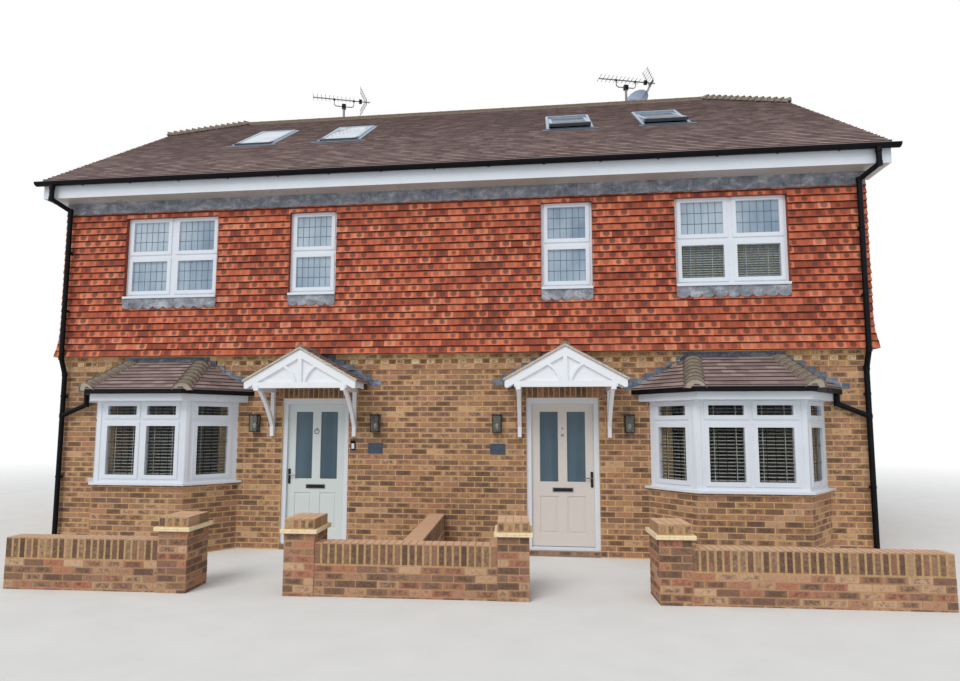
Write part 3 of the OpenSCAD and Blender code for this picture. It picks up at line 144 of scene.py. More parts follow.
class Shader:
    """A node material under construction, kept in mats under its name."""

    def __init__(self, name, roughness, shine=0.5, metallic=0.0, **sockets):
        self.mat = mats[name] = bpy.data.materials.new(name + "_finish")
        self.mat.use_nodes = True
        self.tree = self.mat.node_tree
        self.bsdf = self.tree.nodes["Principled BSDF"]
        self.put(Roughness=roughness, Specular_IOR_Level=shine, Metallic=metallic, **sockets)
        self.place = self.node("TexCoord").outputs["Object"]

    def put(self, **sockets):
        """Feed the shader's own sockets, whose names have _ for each space here."""
        for key, value in sockets.items():
            feed(self.tree, self.bsdf.inputs[key.replace("_", " ")], value)

    def finish(self, base, roughness, height, distance, strength):
        """Feed the shader its colour, roughness and bump."""
        bump = self.node("Bump", {"Height": height, "Distance": distance, "Strength": strength})
        self.put(Base_Color=base, Roughness=roughness, Normal=bump.outputs[0])

    def node(self, kind, ins=None, **props):
        return add_node(self.tree, kind, ins, **props)

    def xyz(self, vector):
        return self.node("SeparateXYZ", {"Vector": vector}).outputs

    def upward(self):
        """Z of the face's normal: 1 on top, -1 underneath."""
        return self.xyz(self.node("NewGeometry").outputs["Normal"])[2]

    def coords(self, scale=(1, 1, 1)):
        """Object coordinates, which are the shared frame's metres."""
        if tuple(scale) == (1, 1, 1):
            return self.place
        return self.node("Mapping", {"Vector": self.place, "Scale": scale}).outputs[0]

    def noise(self, scale, detail=4.0, rough=0.55, stretch=(1, 1, 1), warp=0.0):
        return self.node("TexNoise", {
            "Vector": self.coords(stretch), "Scale": scale, "Detail": detail, "Roughness": rough, "Distortion": warp,
        }).outputs["Fac"]

    def ramp(self, fac, *stops):
        n = self.node("ValToRGB", {"Fac": fac})
        els = n.color_ramp.elements
        while len(els) < len(stops):
            els.new(0.5)
        for el, (pos, colour) in zip(els, stops):
            assign(el, position=pos, color=linear(colour))
        return n.outputs["Color"]

    def span(self, fac, low, high, to_low=0.0, to_high=1.0):
        return self.node("MapRange", {
            "Value": fac, "From Min": low, "From Max": high, "To Min": to_low, "To Max": to_high,
        }).outputs["Result"]

    def mix(self, fac, a, b):
        return self.node("Mix", {0: fac, 6: a, 7: b}, data_type="RGBA").outputs[2]

    def tinge(self, base, colour, fac, low, high, at_high, at_low=0.0):
        """Mix a colour in, by a share from at_low to at_high as fac goes from low to high."""
        return self.mix(self.span(fac, low, high, at_low, at_high), base, colour)

    def math(self, op, a, b=0.0):
        return self.node("Math", {0: a, 1: b}, operation=op).outputs[0]

    def times(self, a, b):
        return self.math("MULTIPLY", a, b)

    def plus(self, a, b):
        return self.math("ADD", a, b)

    def minus(self, a, b):
        return self.math("SUBTRACT", a, b)

    def tone(self):
        """The three random values of each laid piece."""
        a = self.node("VertexColor", layer_name="tone")
        return self.node("SeparateColor", {"Color": a.outputs["Color"]}).outputs

    def cell(self):
        """Coordinates across and up each laid piece, from 0 to 1."""
        return self.xyz(self.node("UVMap", uv_map="cell").outputs[0])


def bricks(name, tints):
    """Brick faces: each brick its own tint, burnt in the middle, paler at worn edges, lit paler on top by painted
    light, and pitted.
    """
    s = Shader(name, 0.9, shine=0.2)
    t, uv = s.tone(), s.cell()
    base = s.ramp(t[0], *((i / (len(tints) - 1), c) for i, c in enumerate(tints)))
    face = s.noise(30, 6, 0.7)
    across, up = (s.math("ABSOLUTE", s.minus(uv[i], 0.5)) for i in (0, 1))
    edge = s.math("MAXIMUM", s.times(across, 1.04), up)
    middle = s.span(s.plus(edge, s.times(face, 0.25)), 0.42, 0.62, 1, 0.1)
    burnt = s.span(s.plus(face, s.times(t[1], 0.26)), 0.52, 0.76, 0, 0.85)
    base = s.mix(s.times(burnt, middle), base, (88, 70, 62))
    base = s.tinge(base, (214, 182, 146), s.noise(75, 4, 0.6), 0.56, 0.74, 0.4)
    base = s.tinge(base, (112, 92, 76), s.noise(0.8, 4), 0.4, 0.7, 0.22)
    # Painted light: faces turned up are made paler, as if lit from above
    base = s.tinge(base, (232, 190, 158), s.upward(), 0.6, 0.9, 0.8)
    pits = s.plus(s.noise(170, 4, 0.7), s.times(face, 1.5))
    s.finish(base, s.span(face, 0.3, 0.7, 0.82, 0.96), pits, 0.003, 0.8)


def mortar(name, dark, mid, pale):
    """Sandy mortar with wide darker clouds."""
    s = Shader(name, 0.95, shine=0.2)
    base = s.ramp(s.noise(40, 5, 0.7), (0.25, dark), (0.5, mid), (0.78, pale))
    s.finish(s.tinge(base, dark, s.noise(1.3, 4), 0.35, 0.7, 0.3), 0.95, s.noise(260, 3, 0.7), 0.002, 0.6)


def hung_tiles(name):
    """Clay tiles with a round burnt patch on the face, paler edges, and painted shade under each lap and along the
    foot's underside.
    """
    s = Shader(name, 0.82, shine=0.3)
    t, uv = s.tone(), s.cell()
    clay = s.ramp(t[0], (0.0, (146, 70, 50)), (0.25, (186, 94, 68)), (0.6, (208, 112, 80)), (0.85, (220, 126, 92)),
                  (1.0, (228, 146, 112)))
    grain = s.noise(80, 5, 0.65)
    clay = s.tinge(clay, (150, 74, 54), grain, 0.5, 0.8, 0.4)
    dx = s.minus(uv[0], s.plus(0.44, s.times(t[1], 0.12)))
    dy = s.minus(uv[1], s.plus(0.42, s.times(t[2], 0.14)))
    far = s.math("SQRT", s.plus(s.times(s.times(dx, dx), 2.2), s.times(s.times(dy, dy), 0.95)))
    far = s.plus(far, s.times(s.minus(grain, 0.5), 0.24))
    size = s.plus(0.30, s.times(t[2], 0.16))
    burn = s.span(s.minus(size, far), -0.09, 0.10)
    often = s.span(t[1], 0.05, 0.5, 0.3, 0.82)
    base = s.mix(s.times(burn, often), clay, (92, 50, 42))
    # Painted shade below the foot of the course above
    base = s.tinge(base, (40, 20, 17), uv[1], 0.70, 0.92, 0.95)
    # Painted shade on the lower part of each foot face
    base = s.tinge(base, (64, 30, 24), uv[1], -0.16, -0.02, 0, 0.85)
    base = s.tinge(base, (112, 62, 48), s.noise(0.8, 3), 0.4, 0.7, 0.2)
    s.finish(base, s.span(burn, 0, 1, 0.86, 0.66), s.noise(240, 4, 0.7), 0.0015, 0.6)


def roof_tiles(name, dark, mid, pale, lap=0.72, shadow=0.9):
    """Sand-faced tiles: each its own tone, with a painted highlight along the foot, and painted shade from lap upwards
    and at the foot's base.
    """
    s = Shader(name, 0.88, shine=0.25)
    t, uv = s.tone(), s.cell()
    base = s.ramp(t[0], (0.0, dark), (0.5, mid), (1.0, pale))
    base = s.tinge(base, dark, s.noise(60, 5, 0.7), 0.48, 0.8, 0.5)
    base = s.tinge(base, pale, s.noise(90, 3, 0.6), 0.55, 0.75, 0.4)
    base = s.tinge(base, pale, s.noise(1.1, 4), 0.4, 0.75, 0.12)
    # Painted highlight along the foot of each tile
    base = s.tinge(base, pale, uv[1], 0.02, 0.30, 0, 0.5)
    # Painted shade from the lap up, below the next course's foot
    base = s.tinge(base, (36, 28, 27), uv[1], lap, 0.98, shadow)
    # Painted shade at the base of each foot face
    base = s.tinge(base, (34, 27, 26), uv[1], -0.16, -0.08, 0, 0.95)
    s.finish(base, s.span(s.noise(20, 3), 0.3, 0.7, 0.8, 0.95), s.noise(220, 4, 0.7), 0.002, 0.6)


def lead(name, dark, mid, pale):
    """Weathered sheet lead: cloudy, with white bloom, faint runs and a lap every metre."""
    s = Shader(name, 0.6, shine=0.35, metallic=0.15)
    wide = s.noise(5, 6, 0.7, stretch=(1, 1, 1.6), warp=0.4)
    base = s.ramp(wide, (0.34, dark), (0.52, mid), (0.68, pale))
    drips = s.noise(26, 5, 0.72, stretch=(1, 1, 0.25), warp=0.6)
    base = s.tinge(base, (206, 210, 216), drips, 0.56, 0.72, 0.45)
    lap = s.node("TexWave", {"Vector": s.coords(), "Scale": 0.3142, "Distortion": 0.0}, bands_direction="X")
    base = s.tinge(base, (60, 65, 74), lap.outputs["Fac"], 0.0, 0.0008, 0, 0.3)
    s.finish(base, s.span(wide, 0.3, 0.7, 0.5, 0.75), s.noise(9, 3, 0.5), 0.01, 0.5)


def plastic(name, colour, roughness, dirt=None, scale=3.0, shine=0.5, under=None):
    """Smooth plastic with faint waves, dull patches and a little dirt; under is the colour of painted shade on faces
    turned down.
    """
    s = Shader(name, roughness, shine)
    cloud = s.noise(scale, 4, 0.6)
    base = s.tinge(colour, dirt or scaled(colour, 0.88), cloud, 0.45, 0.8, 0.5)
    if under:
        # Painted shade on faces turned down, broken up by noise
        underside_shade = s.times(s.span(s.upward(), -0.9, -0.6, 1, 0), s.span(s.noise(1.5, 4), 0.3, 0.7, 0.7, 1.0))
        base = s.mix(underside_shade, base, under)
    dull = s.span(cloud, 0.3, 0.7, roughness * 0.8, min(1.0, roughness * 1.3))
    s.finish(base, dull, s.noise(120, 3, 0.6), 0.0006, 0.3)


def painted_wood(name, colour, roughness):
    """Brushed gloss paint over wood, with faint grain along X and rubbed patches."""
    s = Shader(name, roughness, shine=0.45)
    grain = s.noise(14, 5, 0.65, stretch=(1, 8, 14))
    patch = s.noise(2.2, 4)
    base = s.tinge(colour, scaled(colour, 0.86), grain, 0.5, 0.8, 0.35)
    base = s.tinge(base, scaled(colour, 0.78), patch, 0.5, 0.8, 0.2)
    s.finish(base, s.span(patch, 0.3, 0.7, roughness * 0.85, roughness * 1.2), grain, 0.0015, 0.35)


def metal(name, colour, roughness, metallic):
    """Metal with cloudy wear."""
    s = Shader(name, roughness, metallic=metallic)
    n = s.noise(40, 5, 0.65)
    dull = s.span(n, 0.3, 0.7, roughness * 0.75, min(1, roughness * 1.35))
    s.finish(s.tinge(colour, scaled(colour, 0.7), n, 0.45, 0.8, 0.5), dull, s.noise(300, 2), 0.0004, 0.3)


def cover_metal(name, pale, dark_to):
    """Grey metal of the rooflights, dark up to dark_to at the foot rail, with the lead apron below it."""
    s = Shader(name, 0.5, shine=0.3, metallic=0.3)
    n = s.noise(14, 5, 0.65)
    y = s.xyz(s.coords())[1]
    base = s.ramp(n, (0.3, pale), (0.7, scaled(pale, 1.3)))
    base = s.tinge(base, (40, 48, 57), y, LIGHT_Y + dark_to, LIGHT_Y + dark_to + 0.004, 0, 0.92)
    base = s.tinge(base, (84, 95, 111), y, LIGHT_Y - 0.016, LIGHT_Y - 0.012, 0, 0.9)
    s.finish(base, s.span(n, 0.3, 0.7, 0.35, 0.6), s.noise(60, 3), 0.001, 0.3)


def glass(name, deep, pale, alpha, roughness=0.04, shine=0.6, clear_right=None, shade=None):
    """Double glazing that is partly see-through, its colour a soft drift from deep to pale that paints in a sky
    reflection, with faint streaks.

    Below the height clear_right the right house's big window is clearer, and shade is the span in Y over which
    panes right of the party line turn dark with painted shade.
    """
    s = Shader(name, roughness, shine, Alpha=alpha, IOR=1.5)
    x, y, z = s.xyz(s.coords())
    # Painted sky reflection: the colour drifts from deep to pale, with faint pale streaks
    base = s.ramp(s.noise(0.9, 3, 0.5, stretch=(1, 1, 0.8)), (0.35, deep), (0.65, pale))
    base = s.tinge(base, pale, s.noise(9, 2, 0.5, stretch=(1, 1, 0.04)), 0.45, 0.62, 0.35)
    if clear_right:
        clear = s.times(s.span(x, 3.0, 3.1), s.span(z, clear_right, clear_right + 0.02, 1, 0))
        clear = s.times(clear, s.span(y, -3.0, -2.9, 1, 0))
        s.put(Alpha=s.span(clear, 0, 1, alpha, 0.16))
        base = s.mix(clear, base, (120, 132, 124))
    if shade:
        # Painted shade over the upper part of the right panes, the dark inside of the open sash
        base = s.mix(s.times(s.span(x, 0.0, 0.1), s.span(y, *shade)), base, (44, 52, 58))
    s.finish(base, roughness, s.noise(1.7, 2), 0.004, 0.25)


def plain(name, dark, pale, scale, roughness=0.9, bump=0.002, stretch=(1, 1, 1)):
    """Rough matt stuff such as concrete, plaster or bare boards."""
    s = Shader(name, roughness, shine=0.25)
    n = s.noise(scale, 6, 0.65, stretch=stretch)
    dull = s.span(n, 0.3, 0.7, roughness * 0.9, min(1, roughness * 1.05))
    s.finish(s.ramp(n, (0.3, dark), (0.7, pale)), dull, s.noise(scale * 6, 4, 0.7, stretch=stretch), bump, 0.5)


def slate(name, dark, pale):
    """Riven slate."""
    s = Shader(name, 0.6, shine=0.4)
    n = s.noise(26, 6, 0.7, stretch=(1, 1, 2.5))
    s.finish(s.ramp(n, (0.3, dark), (0.7, pale)), 0.6, n, 0.002, 0.6)


# Finishes, with their colours as values from 0 to 255
bricks("brick", ((128, 100, 84), (160, 124, 98), (184, 142, 112), (178, 132, 108), (196, 154, 118), (208, 170, 134)))
bricks("garden_brick", ((116, 88, 76), (144, 110, 91), (168, 130, 107), (186, 122, 98), (177, 135, 109),
                        (197, 155, 125), (206, 170, 138)))
bricks("coping", ((102, 76, 66), (128, 98, 80), (152, 118, 94), (142, 104, 86), (166, 132, 106), (178, 146, 116)))
bricks("cap_brick", ((116, 92, 76), (170, 136, 108), (202, 166, 134), (184, 146, 116), (214, 182, 150)))
bricks("buff_brick", ((166, 128, 88), (196, 156, 112), (216, 180, 132), (206, 164, 118), (228, 194, 150),
                      (236, 208, 166)))
plain("cap_tile", (226, 202, 158), (252, 236, 202), 18)
plain("bedding_mortar", (172, 161, 144), (214, 204, 186), 30, 0.95)
plain("ridge_bedding", (92, 80, 68), (140, 124, 106), 30, 0.95)
mortar("mortar", (192, 152, 98), (230, 190, 130), (246, 216, 164))
mortar("garden_mortar", (150, 120, 85), (190, 155, 111), (212, 180, 138))
hung_tiles("hung_tile")
roof_tiles("roof_tile", (118, 99, 97), (156, 133, 130), (196, 173, 168))
roof_tiles("bay_tile", (122, 102, 100), (144, 124, 121), (168, 149, 145), 0.86, 0.8)
plain("ridge", (82, 68, 60), (136, 120, 104), 22)
plain("bonnet", (112, 100, 92), (160, 147, 134), 22)
lead("lead", (94, 99, 109), (138, 142, 152), (186, 189, 196))
lead("step_lead", (68, 77, 92), (102, 113, 130), (158, 167, 182))
plastic("white_plastic", (224, 230, 239), 0.32)
# Fascias and soffits with painted shade under the soffits
plastic("fascia", (224, 230, 239), 0.32, under=(176, 166, 154))
painted_wood("white_paint", (238, 241, 246), 0.45)
plastic("black_plastic", (8, 10, 14), 0.5, (22, 25, 32), 6.0, 0.14)
metal("grey_metal", (84, 92, 98), 0.45, 0.4)
cover_metal("cover_metal", (158, 171, 185), 0.012)
cover_metal("sash_metal", (162, 175, 189), 0.120)
metal("dish_metal", (138, 152, 174), 0.5, 0.2)
metal("aerial_metal", (120, 122, 126), 0.4, 0.9)
metal("chrome", (136, 138, 142), 0.24, 1.0)
metal("black_metal", (8, 9, 11), 0.7, 0.1)
glass("window_glass", (126, 150, 173), (190, 206, 219), 0.92, clear_right=PANE_TOP)
glass("bay_glass", (20, 26, 30), (60, 70, 74), 0.13, 0.04, 0.25)
glass("rooflight_glass", (172, 190, 206), (216, 228, 238), 0.92, shade=(LIGHT_Y + 0.55, LIGHT_Y + 0.95))
glass("door_glass", (70, 92, 106), (94, 118, 132), 0.95, 0.22, 0.4)
glass("lamp_glass", (108, 108, 104), (150, 150, 144), 0.32, 0.1, 0.25)
painted_wood("sage_paint", (214, 222, 221), 0.42)
painted_wood("stone_paint", (219, 211, 204), 0.42)
slate("plate", (46, 58, 73), (76, 90, 107))
plain("concrete", (120, 118, 114), (158, 155, 150), 6)
plain("plaster", (196, 194, 188), (222, 220, 214), 5, 0.9, 0.001)
plain("floor_board", (150, 118, 84), (186, 152, 112), 5, 0.7, 0.001, (0.3, 6, 1))
plain("stained_board", (66, 44, 34), (104, 72, 54), 8, 0.6, 0.001, (1, 6, 6))
plastic("blind", (214, 213, 203), 0.5)
plain("came", (84, 98, 116), (112, 126, 144), 12, 0.6)
plain("bay_came", (18, 22, 28), (42, 48, 58), 12, 0.6)
plain("bulb", (226, 214, 186), (248, 240, 222), 30, 0.3, 0.0005)

NODE_FINISH = {
    "mortar": "front_wall_piers front_wall_bands back_wall_piers back_wall_bands gable_walls corbel_courses bay_walls",
    "garden_mortar": "garden_walls dividing_wall gate_piers pier_caps",
    "concrete": "ground_floor",
    "plaster": "party_wall",
    "floor_board": "upper_floors",
    "hung_tile": "front_tile_hanging side_tile_hanging back_tile_hanging",
    "lead": "lead_bands lead_aprons",
    "step_lead": "lead_flashings",
    "roof_tile": "front_roof back_roof half_hips",
    "ridge": "ridge_tiles hip_tiles",
    "grey_metal": "door_hinges",
    "cover_metal": "rooflight_frames",
    "sash_metal": "rooflight_sashes",
    "dish_metal": "satellite_dish",
    "rooflight_glass": "rooflight_glass",
    "aerial_metal": "tv_aerials",
    "fascia": "fascias_and_soffits",
    "white_plastic": "bargeboards upper_windows back_windows bay_windows back_doors door_frames bay_fascias",
    "black_plastic": "gutters downpipes bay_gutters door_bell",
    "window_glass": "window_glass",
    "bay_glass": "bay_glass",
    "bay_tile": "bay_roofs porch_roofs",
    "white_paint": "porch_gables porch_brackets porch_rafters",
    "stained_board": "wall_rafters",
    "sage_paint": "left_door",
    "stone_paint": "right_door",
    "door_glass": "left_door_glass right_door_glass",
    "chrome": "left_door_furniture right_door_furniture",
    "black_metal": "wall_lanterns",
    "lamp_glass": "lantern_glass",
    "plate": "number_plates",
}
for finish, names in NODE_FINISH.items():
    for name in names.split():
        data = nodes[name].data
        data.materials.clear()
        data.materials.append(mats[finish])


class Plane:
    """A flat frame in space, upright unless V says else: origin, U across, V up and N out of the face."""

    def __init__(self, origin, u, v=(0, 0, 1)):
        self.o = Vector(origin)
        self.u = Vector(u).normalized()
        self.v = Vector(v).normalized()
        self.n = self.u.cross(self.v)

    def at(self, u, v, h=0.0):
        return self.o + self.u * u + self.v * v + self.n * h

    def out(self, h):
        return Plane(self.o + self.n * h, self.u, self.v)


def clip(poly, region):
    """The part of a convex polygon inside a convex region, both anticlockwise."""
    for (ax, ay), (bx, by) in zip(region, region[1:] + region[:1]):
        if not poly:
            return poly
        ex, ey = bx - ax, by - ay
        out = []
        for (px, py), (qx, qy) in zip(poly, poly[1:] + poly[:1]):
            p = ex * (py - ay) - ey * (px - ax)
            q = ex * (qy - ay) - ey * (qx - ax)
            if p >= 0:
                out.append((px, py))
            if (p > 0 > q) or (p < 0 < q):
                t = p / (p - q)
                out.append((px + t * (qx - px), py + t * (qy - py)))
        poly = out
    return poly


def less(rects, holes):
    """Rectangles (u0, v0, u1, v1) less the holes, as rectangles that are no slivers."""
    for hu0, hv0, hu1, hv1 in holes:
        kept = []
        for u0, v0, u1, v1 in rects:
            if hu0 >= u1 or hu1 <= u0 or hv0 >= v1 or hv1 <= v0:
                kept.append((u0, v0, u1, v1))
                continue
            for part in ((u0, v0, min(u1, hu0), v1), (max(u0, hu1), v0, u1, v1),
                         (max(u0, hu0), v0, min(u1, hu1), min(v1, hv0)),
                         (max(u0, hu0), max(v0, hv1), min(u1, hu1), v1)):
                if part[2] - part[0] > SLIVER and part[3] - part[1] > SLIVER:
                    kept.append(part)
        rects = kept
    return rects


def mirrored(rects):
    """Each rectangle, followed by its mirror image across the party line."""
    return [r for u0, v0, u1, v1 in rects for r in ((u0, v0, u1, v1), (-u1, v0, -u0, v1))]


class Batch:
    """Many small laid pieces as one mesh, each with random tones and its own coordinates."""

    CORNERS = ((0, 0), (1, 0), (1, 1), (0, 1))
    INNER = tuple((0.14 + 0.72 * x, 0.14 + 0.72 * y) for x, y in CORNERS)
    DEPTH_CELL = 0.3

    def __init__(self, seed):
        self.rng = random.Random(seed)
        self.verts, self.faces, self.tones, self.cells = [], [], [], []

    def new_tone(self):
        return (self.rng.random(), self.rng.random(), self.rng.random(), 1.0)

    def face(self, ids, tone, cells):
        self.faces.append(ids)
        self.tones.extend([tone] * len(ids))
        self.cells.extend(cells)

    def plate(self, plane, rect, poly=None, low=BRICK_OUT, high=None, tone=None, bulge=None, top=True):
        """A plate over rect, cut to poly, standing out by low at its foot and high at its head.

        Its edges run DEPTH_CELL below their place on the cell map, and top says if the head edge has a face.
        """
        u0, v0, u1, v1 = rect
        poly = poly or [(u0, v0), (u1, v0), (u1, v1), (u0, v1)]
        high = low if high is None else high
        tone = tone or self.new_tone()
        n = len(self.verts)
        count = len(poly)
        lift = [bulge(v) if bulge else 0.0 for _, v in poly]
        self.verts += [plane.at(u, v, low + (high - low) * (v - v0) / (v1 - v0) + b) for (u, v), b in zip(poly, lift)]
        self.verts += [plane.at(u, v, SINK + b) for (u, v), b in zip(poly, lift)]
        cells = [((u - u0) / (u1 - u0), (v - v0) / (v1 - v0)) for u, v in poly]
        self.face(tuple(range(n, n + count)), tone, cells)
        for i in range(count):
            j = (i + 1) % count
            if not top and poly[i][1] > v1 - 1e-6 and poly[j][1] > v1 - 1e-6:
                continue
            (a, c), (d, e) = cells[i], cells[j]
            self.face((n + i, n + count + i, n + count + j, n + j), tone,
                      [(a, c), (a, c - self.DEPTH_CELL), (d, e - self.DEPTH_CELL), (d, e)])

    def block(self, plane, low, high, tone=None, edge=0.0):
        """A box between two corners in a plane's U, V and N, with its outer edges eased."""
        tone = tone or self.new_tone()
        (a, b, c), (d, e, f) = low, high
        rings = [(0, c + edge), (0, f - edge)] if edge == 0 else [(edge, c), (0, c + edge), (0, f - edge), (edge, f)]
        n = len(self.verts)
        for inset, h in rings:
            for i, j in self.CORNERS:
                self.verts.append(plane.at(d - inset if i else a + inset, e - inset if j else b + inset, h))
        for r in range(len(rings) - 1):
            for i in range(4):
                j = (i + 1) % 4
                p, q = self.CORNERS[i], self.CORNERS[j]
                self.face((n + 4 * r + i, n + 4 * r + j, n + 4 * r + 4 + j, n + 4 * r + 4 + i), tone, [p, q, q, p])
        last = n + 4 * (len(rings) - 1)
        self.face((n + 3, n + 2, n + 1, n), tone, self.CORNERS[::-1])
        self.face((last, last + 1, last + 2, last + 3), tone, self.INNER if edge else self.CORNERS)

    def strip(self, rows, tone=None):
        """A quad surface through rows of points."""
        tone = tone or self.new_tone()
        n = len(self.verts)
        w, h = len(rows[0]), len(rows)
        self.verts += [point for row in rows for point in row]
        for r in range(h - 1):
            for i in range(w - 1):
                a = n + r * w + i
                cells = [((i + p) / (w - 1), (r + q) / (h - 1)) for p, q in self.CORNERS]
                self.face((a, a + 1, a + 1 + w, a + w), tone, cells)

    def make(self, name, mat, body="house", smooth=False):
        mesh = bpy.data.meshes.new(name)
        mesh.from_pydata(self.verts, [], self.faces, shade_flat=not smooth)
        colours = mesh.color_attributes.new("tone", "FLOAT_COLOR", "CORNER")
        colours.data.foreach_set("color", [x for t in self.tones for x in t])
        layer = mesh.uv_layers.new(name="cell")
        layer.data.foreach_set("uv", [x for c in self.cells for x in c])
        mesh.materials.append(mats[mat])
        mesh.update()
        obj = add_object(name, mesh)
        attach(obj, body)


def lay_bricks(batch, plane, u0, u1, z0, z1, holes=(), top=TILE_FOOT, lead_in=0):
    """Stretcher bond between two heights, with the courses counted down from top."""
    first = math.floor((top - z1) / COURSE + 1e-6)
    last = math.ceil((top - z0) / COURSE - 1e-6)
    for j in range(first, last):
        foot = top - (j + 1) * COURSE + JOINT / 2
        head = min(foot + COURSE - JOINT, z1)
        foot = max(foot, z0)
        if head - foot < SLIVER:
            continue
        u = u0
        width = STRETCHER if (j + lead_in) % 2 == 0 else HEADER
        while u < u1 - 0.02:
            end = min(u + width, u1)
            slack = batch.rng.uniform(-0.0015, 0.0015)
            for r in less([(u + slack, foot, end + slack, head)], holes):
                batch.plate(plane, r, low=BRICK_OUT + batch.rng.uniform(-0.0008, 0.0012))
            u += width + JOINT
            width = STRETCHER


def lay_tiles(batch, plane, region, v0, v1, holes=(), gauge=GAUGE, ends=None, bulge=None, foot_out=0.013,
              head_out=0.001, jitter=0.0012):
    """Lapped plain tiles in courses over a convex region; every other course starts half a tile along.

    ends gives a course's left and right end from its foot, and tiles above a hole lie flatter, over the flashing.
    """
    us = [p[0] for p in region]
    rows = math.ceil((v1 - v0) / gauge - 1e-6)
    for r in range(rows):
        foot = v0 + r * gauge
        head = min(foot + gauge, v1)
        left, right = ends(foot) if ends else (min(us), max(us))
        start = math.floor(left / TILE_W) * TILE_W - (TILE_W / 2 if r % 2 else 0)
        count = int((right - start) / TILE_W) + 2
        for i in range(count):
            a = start + i * TILE_W
            rect = (max(a + TILE_GAP / 2, left), foot, min(a + TILE_W - TILE_GAP / 2, right), head)
            if rect[2] - rect[0] < 0.008:
                continue
            drop = batch.rng.uniform(-jitter, jitter)
            lift = foot_out + batch.rng.uniform(-jitter, jitter) * 1.4
            if any(h[0] - TILE_W < a < h[2] and h[1] - 0.18 < foot < h[1] for h in holes):
                lift = min(lift, 0.013)
            for q in less([rect], holes):
                poly = clip([(q[0], q[1] + drop), (q[2], q[1] - drop * 0.5), (q[2], q[3]), (q[0], q[3])], region)
                if len(poly) > 2:
                    batch.plate(plane, (a, foot, a + TILE_W, head), poly, lift, head_out, bulge=bulge, top=False)


FRONT = Plane((0, WALL_Y, 0), (1, 0, 0))
BACK = Plane((0, -WALL_Y, 0), (-1, 0, 0))
RIGHT = Plane((HALF_W, 0, 0), (0, 1, 0))
LEFT = Plane((-HALF_W, 0, 0), (0, -1, 0))


def doorway(foot):
    return (DOOR_X - DOOR_W / 2, foot, DOOR_X + DOOR_W / 2, DOOR_TOP)


# Brickwork of the houses, with the soldier course over each front door
bay_gaps = [(BAY_X - BAY_WALL + inset, low, BAY_X + BAY_WALL - inset, high)
            for inset, low, high in ((0, 0, BAY_SILL), (0.040, BAY_SILL, BAY_BOX))]
front_holes = mirrored([doorway(DRIVE - 0.001)] + bay_gaps)
soldiers = mirrored([(DOOR_X - 0.560, DOOR_TOP, DOOR_X + 0.560, DOOR_TOP + 0.220)])
back_holes = mirrored([doorway(0), (BIG_X - BIG_W / 2, BAY_SILL, BIG_X + BIG_W / 2, DOOR_TOP)])

b = Batch(11)
lay_bricks(b, FRONT, -HALF_W, HALF_W, 0, CORBEL_FOOT, front_holes + soldiers)
# Soldier bricks take the darker half of the tints: brown bricks, with painted shade from the porch roofs
for u0, v0, u1, v1 in soldiers:
    u = u0 + 0.005
    while u < u1 - 0.06:
        b.plate(FRONT, (u, v0 + 0.004, u + 0.065, v0 + 0.216), tone=(b.rng.random() * 0.5, b.rng.random(), 0.5, 1))
        u += 0.0748
b.make("front_bricks", "brick")

for name, plane, half, holes, seed in (("back", BACK, HALF_W, back_holes, 12), ("right_gable", RIGHT, -WALL_Y, (), 13),
                                       ("left_gable", LEFT, -WALL_Y, (), 14)):
    b = Batch(seed)
    lay_bricks(b, plane, -half, half, 0, CORBEL_FOOT, holes, lead_in=0 if holes else 1)
    b.make(name + "_bricks", "brick")

# Corbel courses from the lowest up: plain, dentil and plain, with buff bricks in the upper two
b = Batch(15)
buff = Batch(37)
for plane, half in ((FRONT, HALF_W), (BACK, HALF_W), (RIGHT, -WALL_Y), (LEFT, -WALL_Y)):
    for j, out in ((2, 0.015), (1, 0.0075), (0, 0.030)):
        foot = TILE_FOOT - (j + 1) * COURSE + JOINT / 2
        holes = []
        if plane is FRONT:
            mid = foot + COURSE / 2
            bay_half = BAY_RIDGE_HALF + (DRIVE + 2.625 - mid) * 1.859 + 0.03
            porch_half = (DRIVE + 2.760 - mid) / PORCH_SLOPE + 0.03
            holes = mirrored([(x - clear, 0, x + clear, 3) for x, clear in ((BAY_X, bay_half), (PORCH_X, porch_half))])
        u = -half - out
        step = 0
        while u < half + out - 0.02:
            stands = j == 1 and step % 2 == 0
            if j == 1:
                width, lift = HEADER, (0.019 if stands else 0.001)
                shades = (0.7, 1.0) if stands else (0.1, 0.6)
            else:
                width, lift, shades = STRETCHER, BRICK_OUT, (0.35, 1.0)
            tone = (b.rng.uniform(*shades), b.rng.random(), 0.5, 1)
            end = min(u + width, half + out)
            for r in less([(u, foot, end, foot + COURSE - JOINT)], holes):
                (buff if j == 0 or stands else b).plate(plane.out(out), r, low=lift, tone=tone)
            u += width + JOINT
            step += 1
b.make("corbel_bricks", "brick")
buff.make("corbel_buff_bricks", "buff_brick")


def bay_faces():
    """The three faces of each bay as planes with their half width; U runs along the face."""
    out = []
    for s in (1, -1):
        cx, y = s * BAY_X, WALL_Y - BAY_D
        out.append((Plane((cx, y, 0), (1, 0, 0)), BAY_HALF))
        for t in (-1, 1):
            a = Vector((cx + t * BAY_HALF, y, 0))
            c = Vector((cx + t * BAY_WALL, WALL_Y, 0))
            u = (c - a) * t
            out.append((Plane((a + c) / 2, u), u.length / 2))
    return out


def bay_lights(half, inner, outer, side):
    """Where the lights of a bay face begin and end in U: two lights at the front, one at a side."""
    return ((inner, outer), (-outer, -inner)) if abs(half - BAY_HALF) < 1e-6 else ((-side, side),)


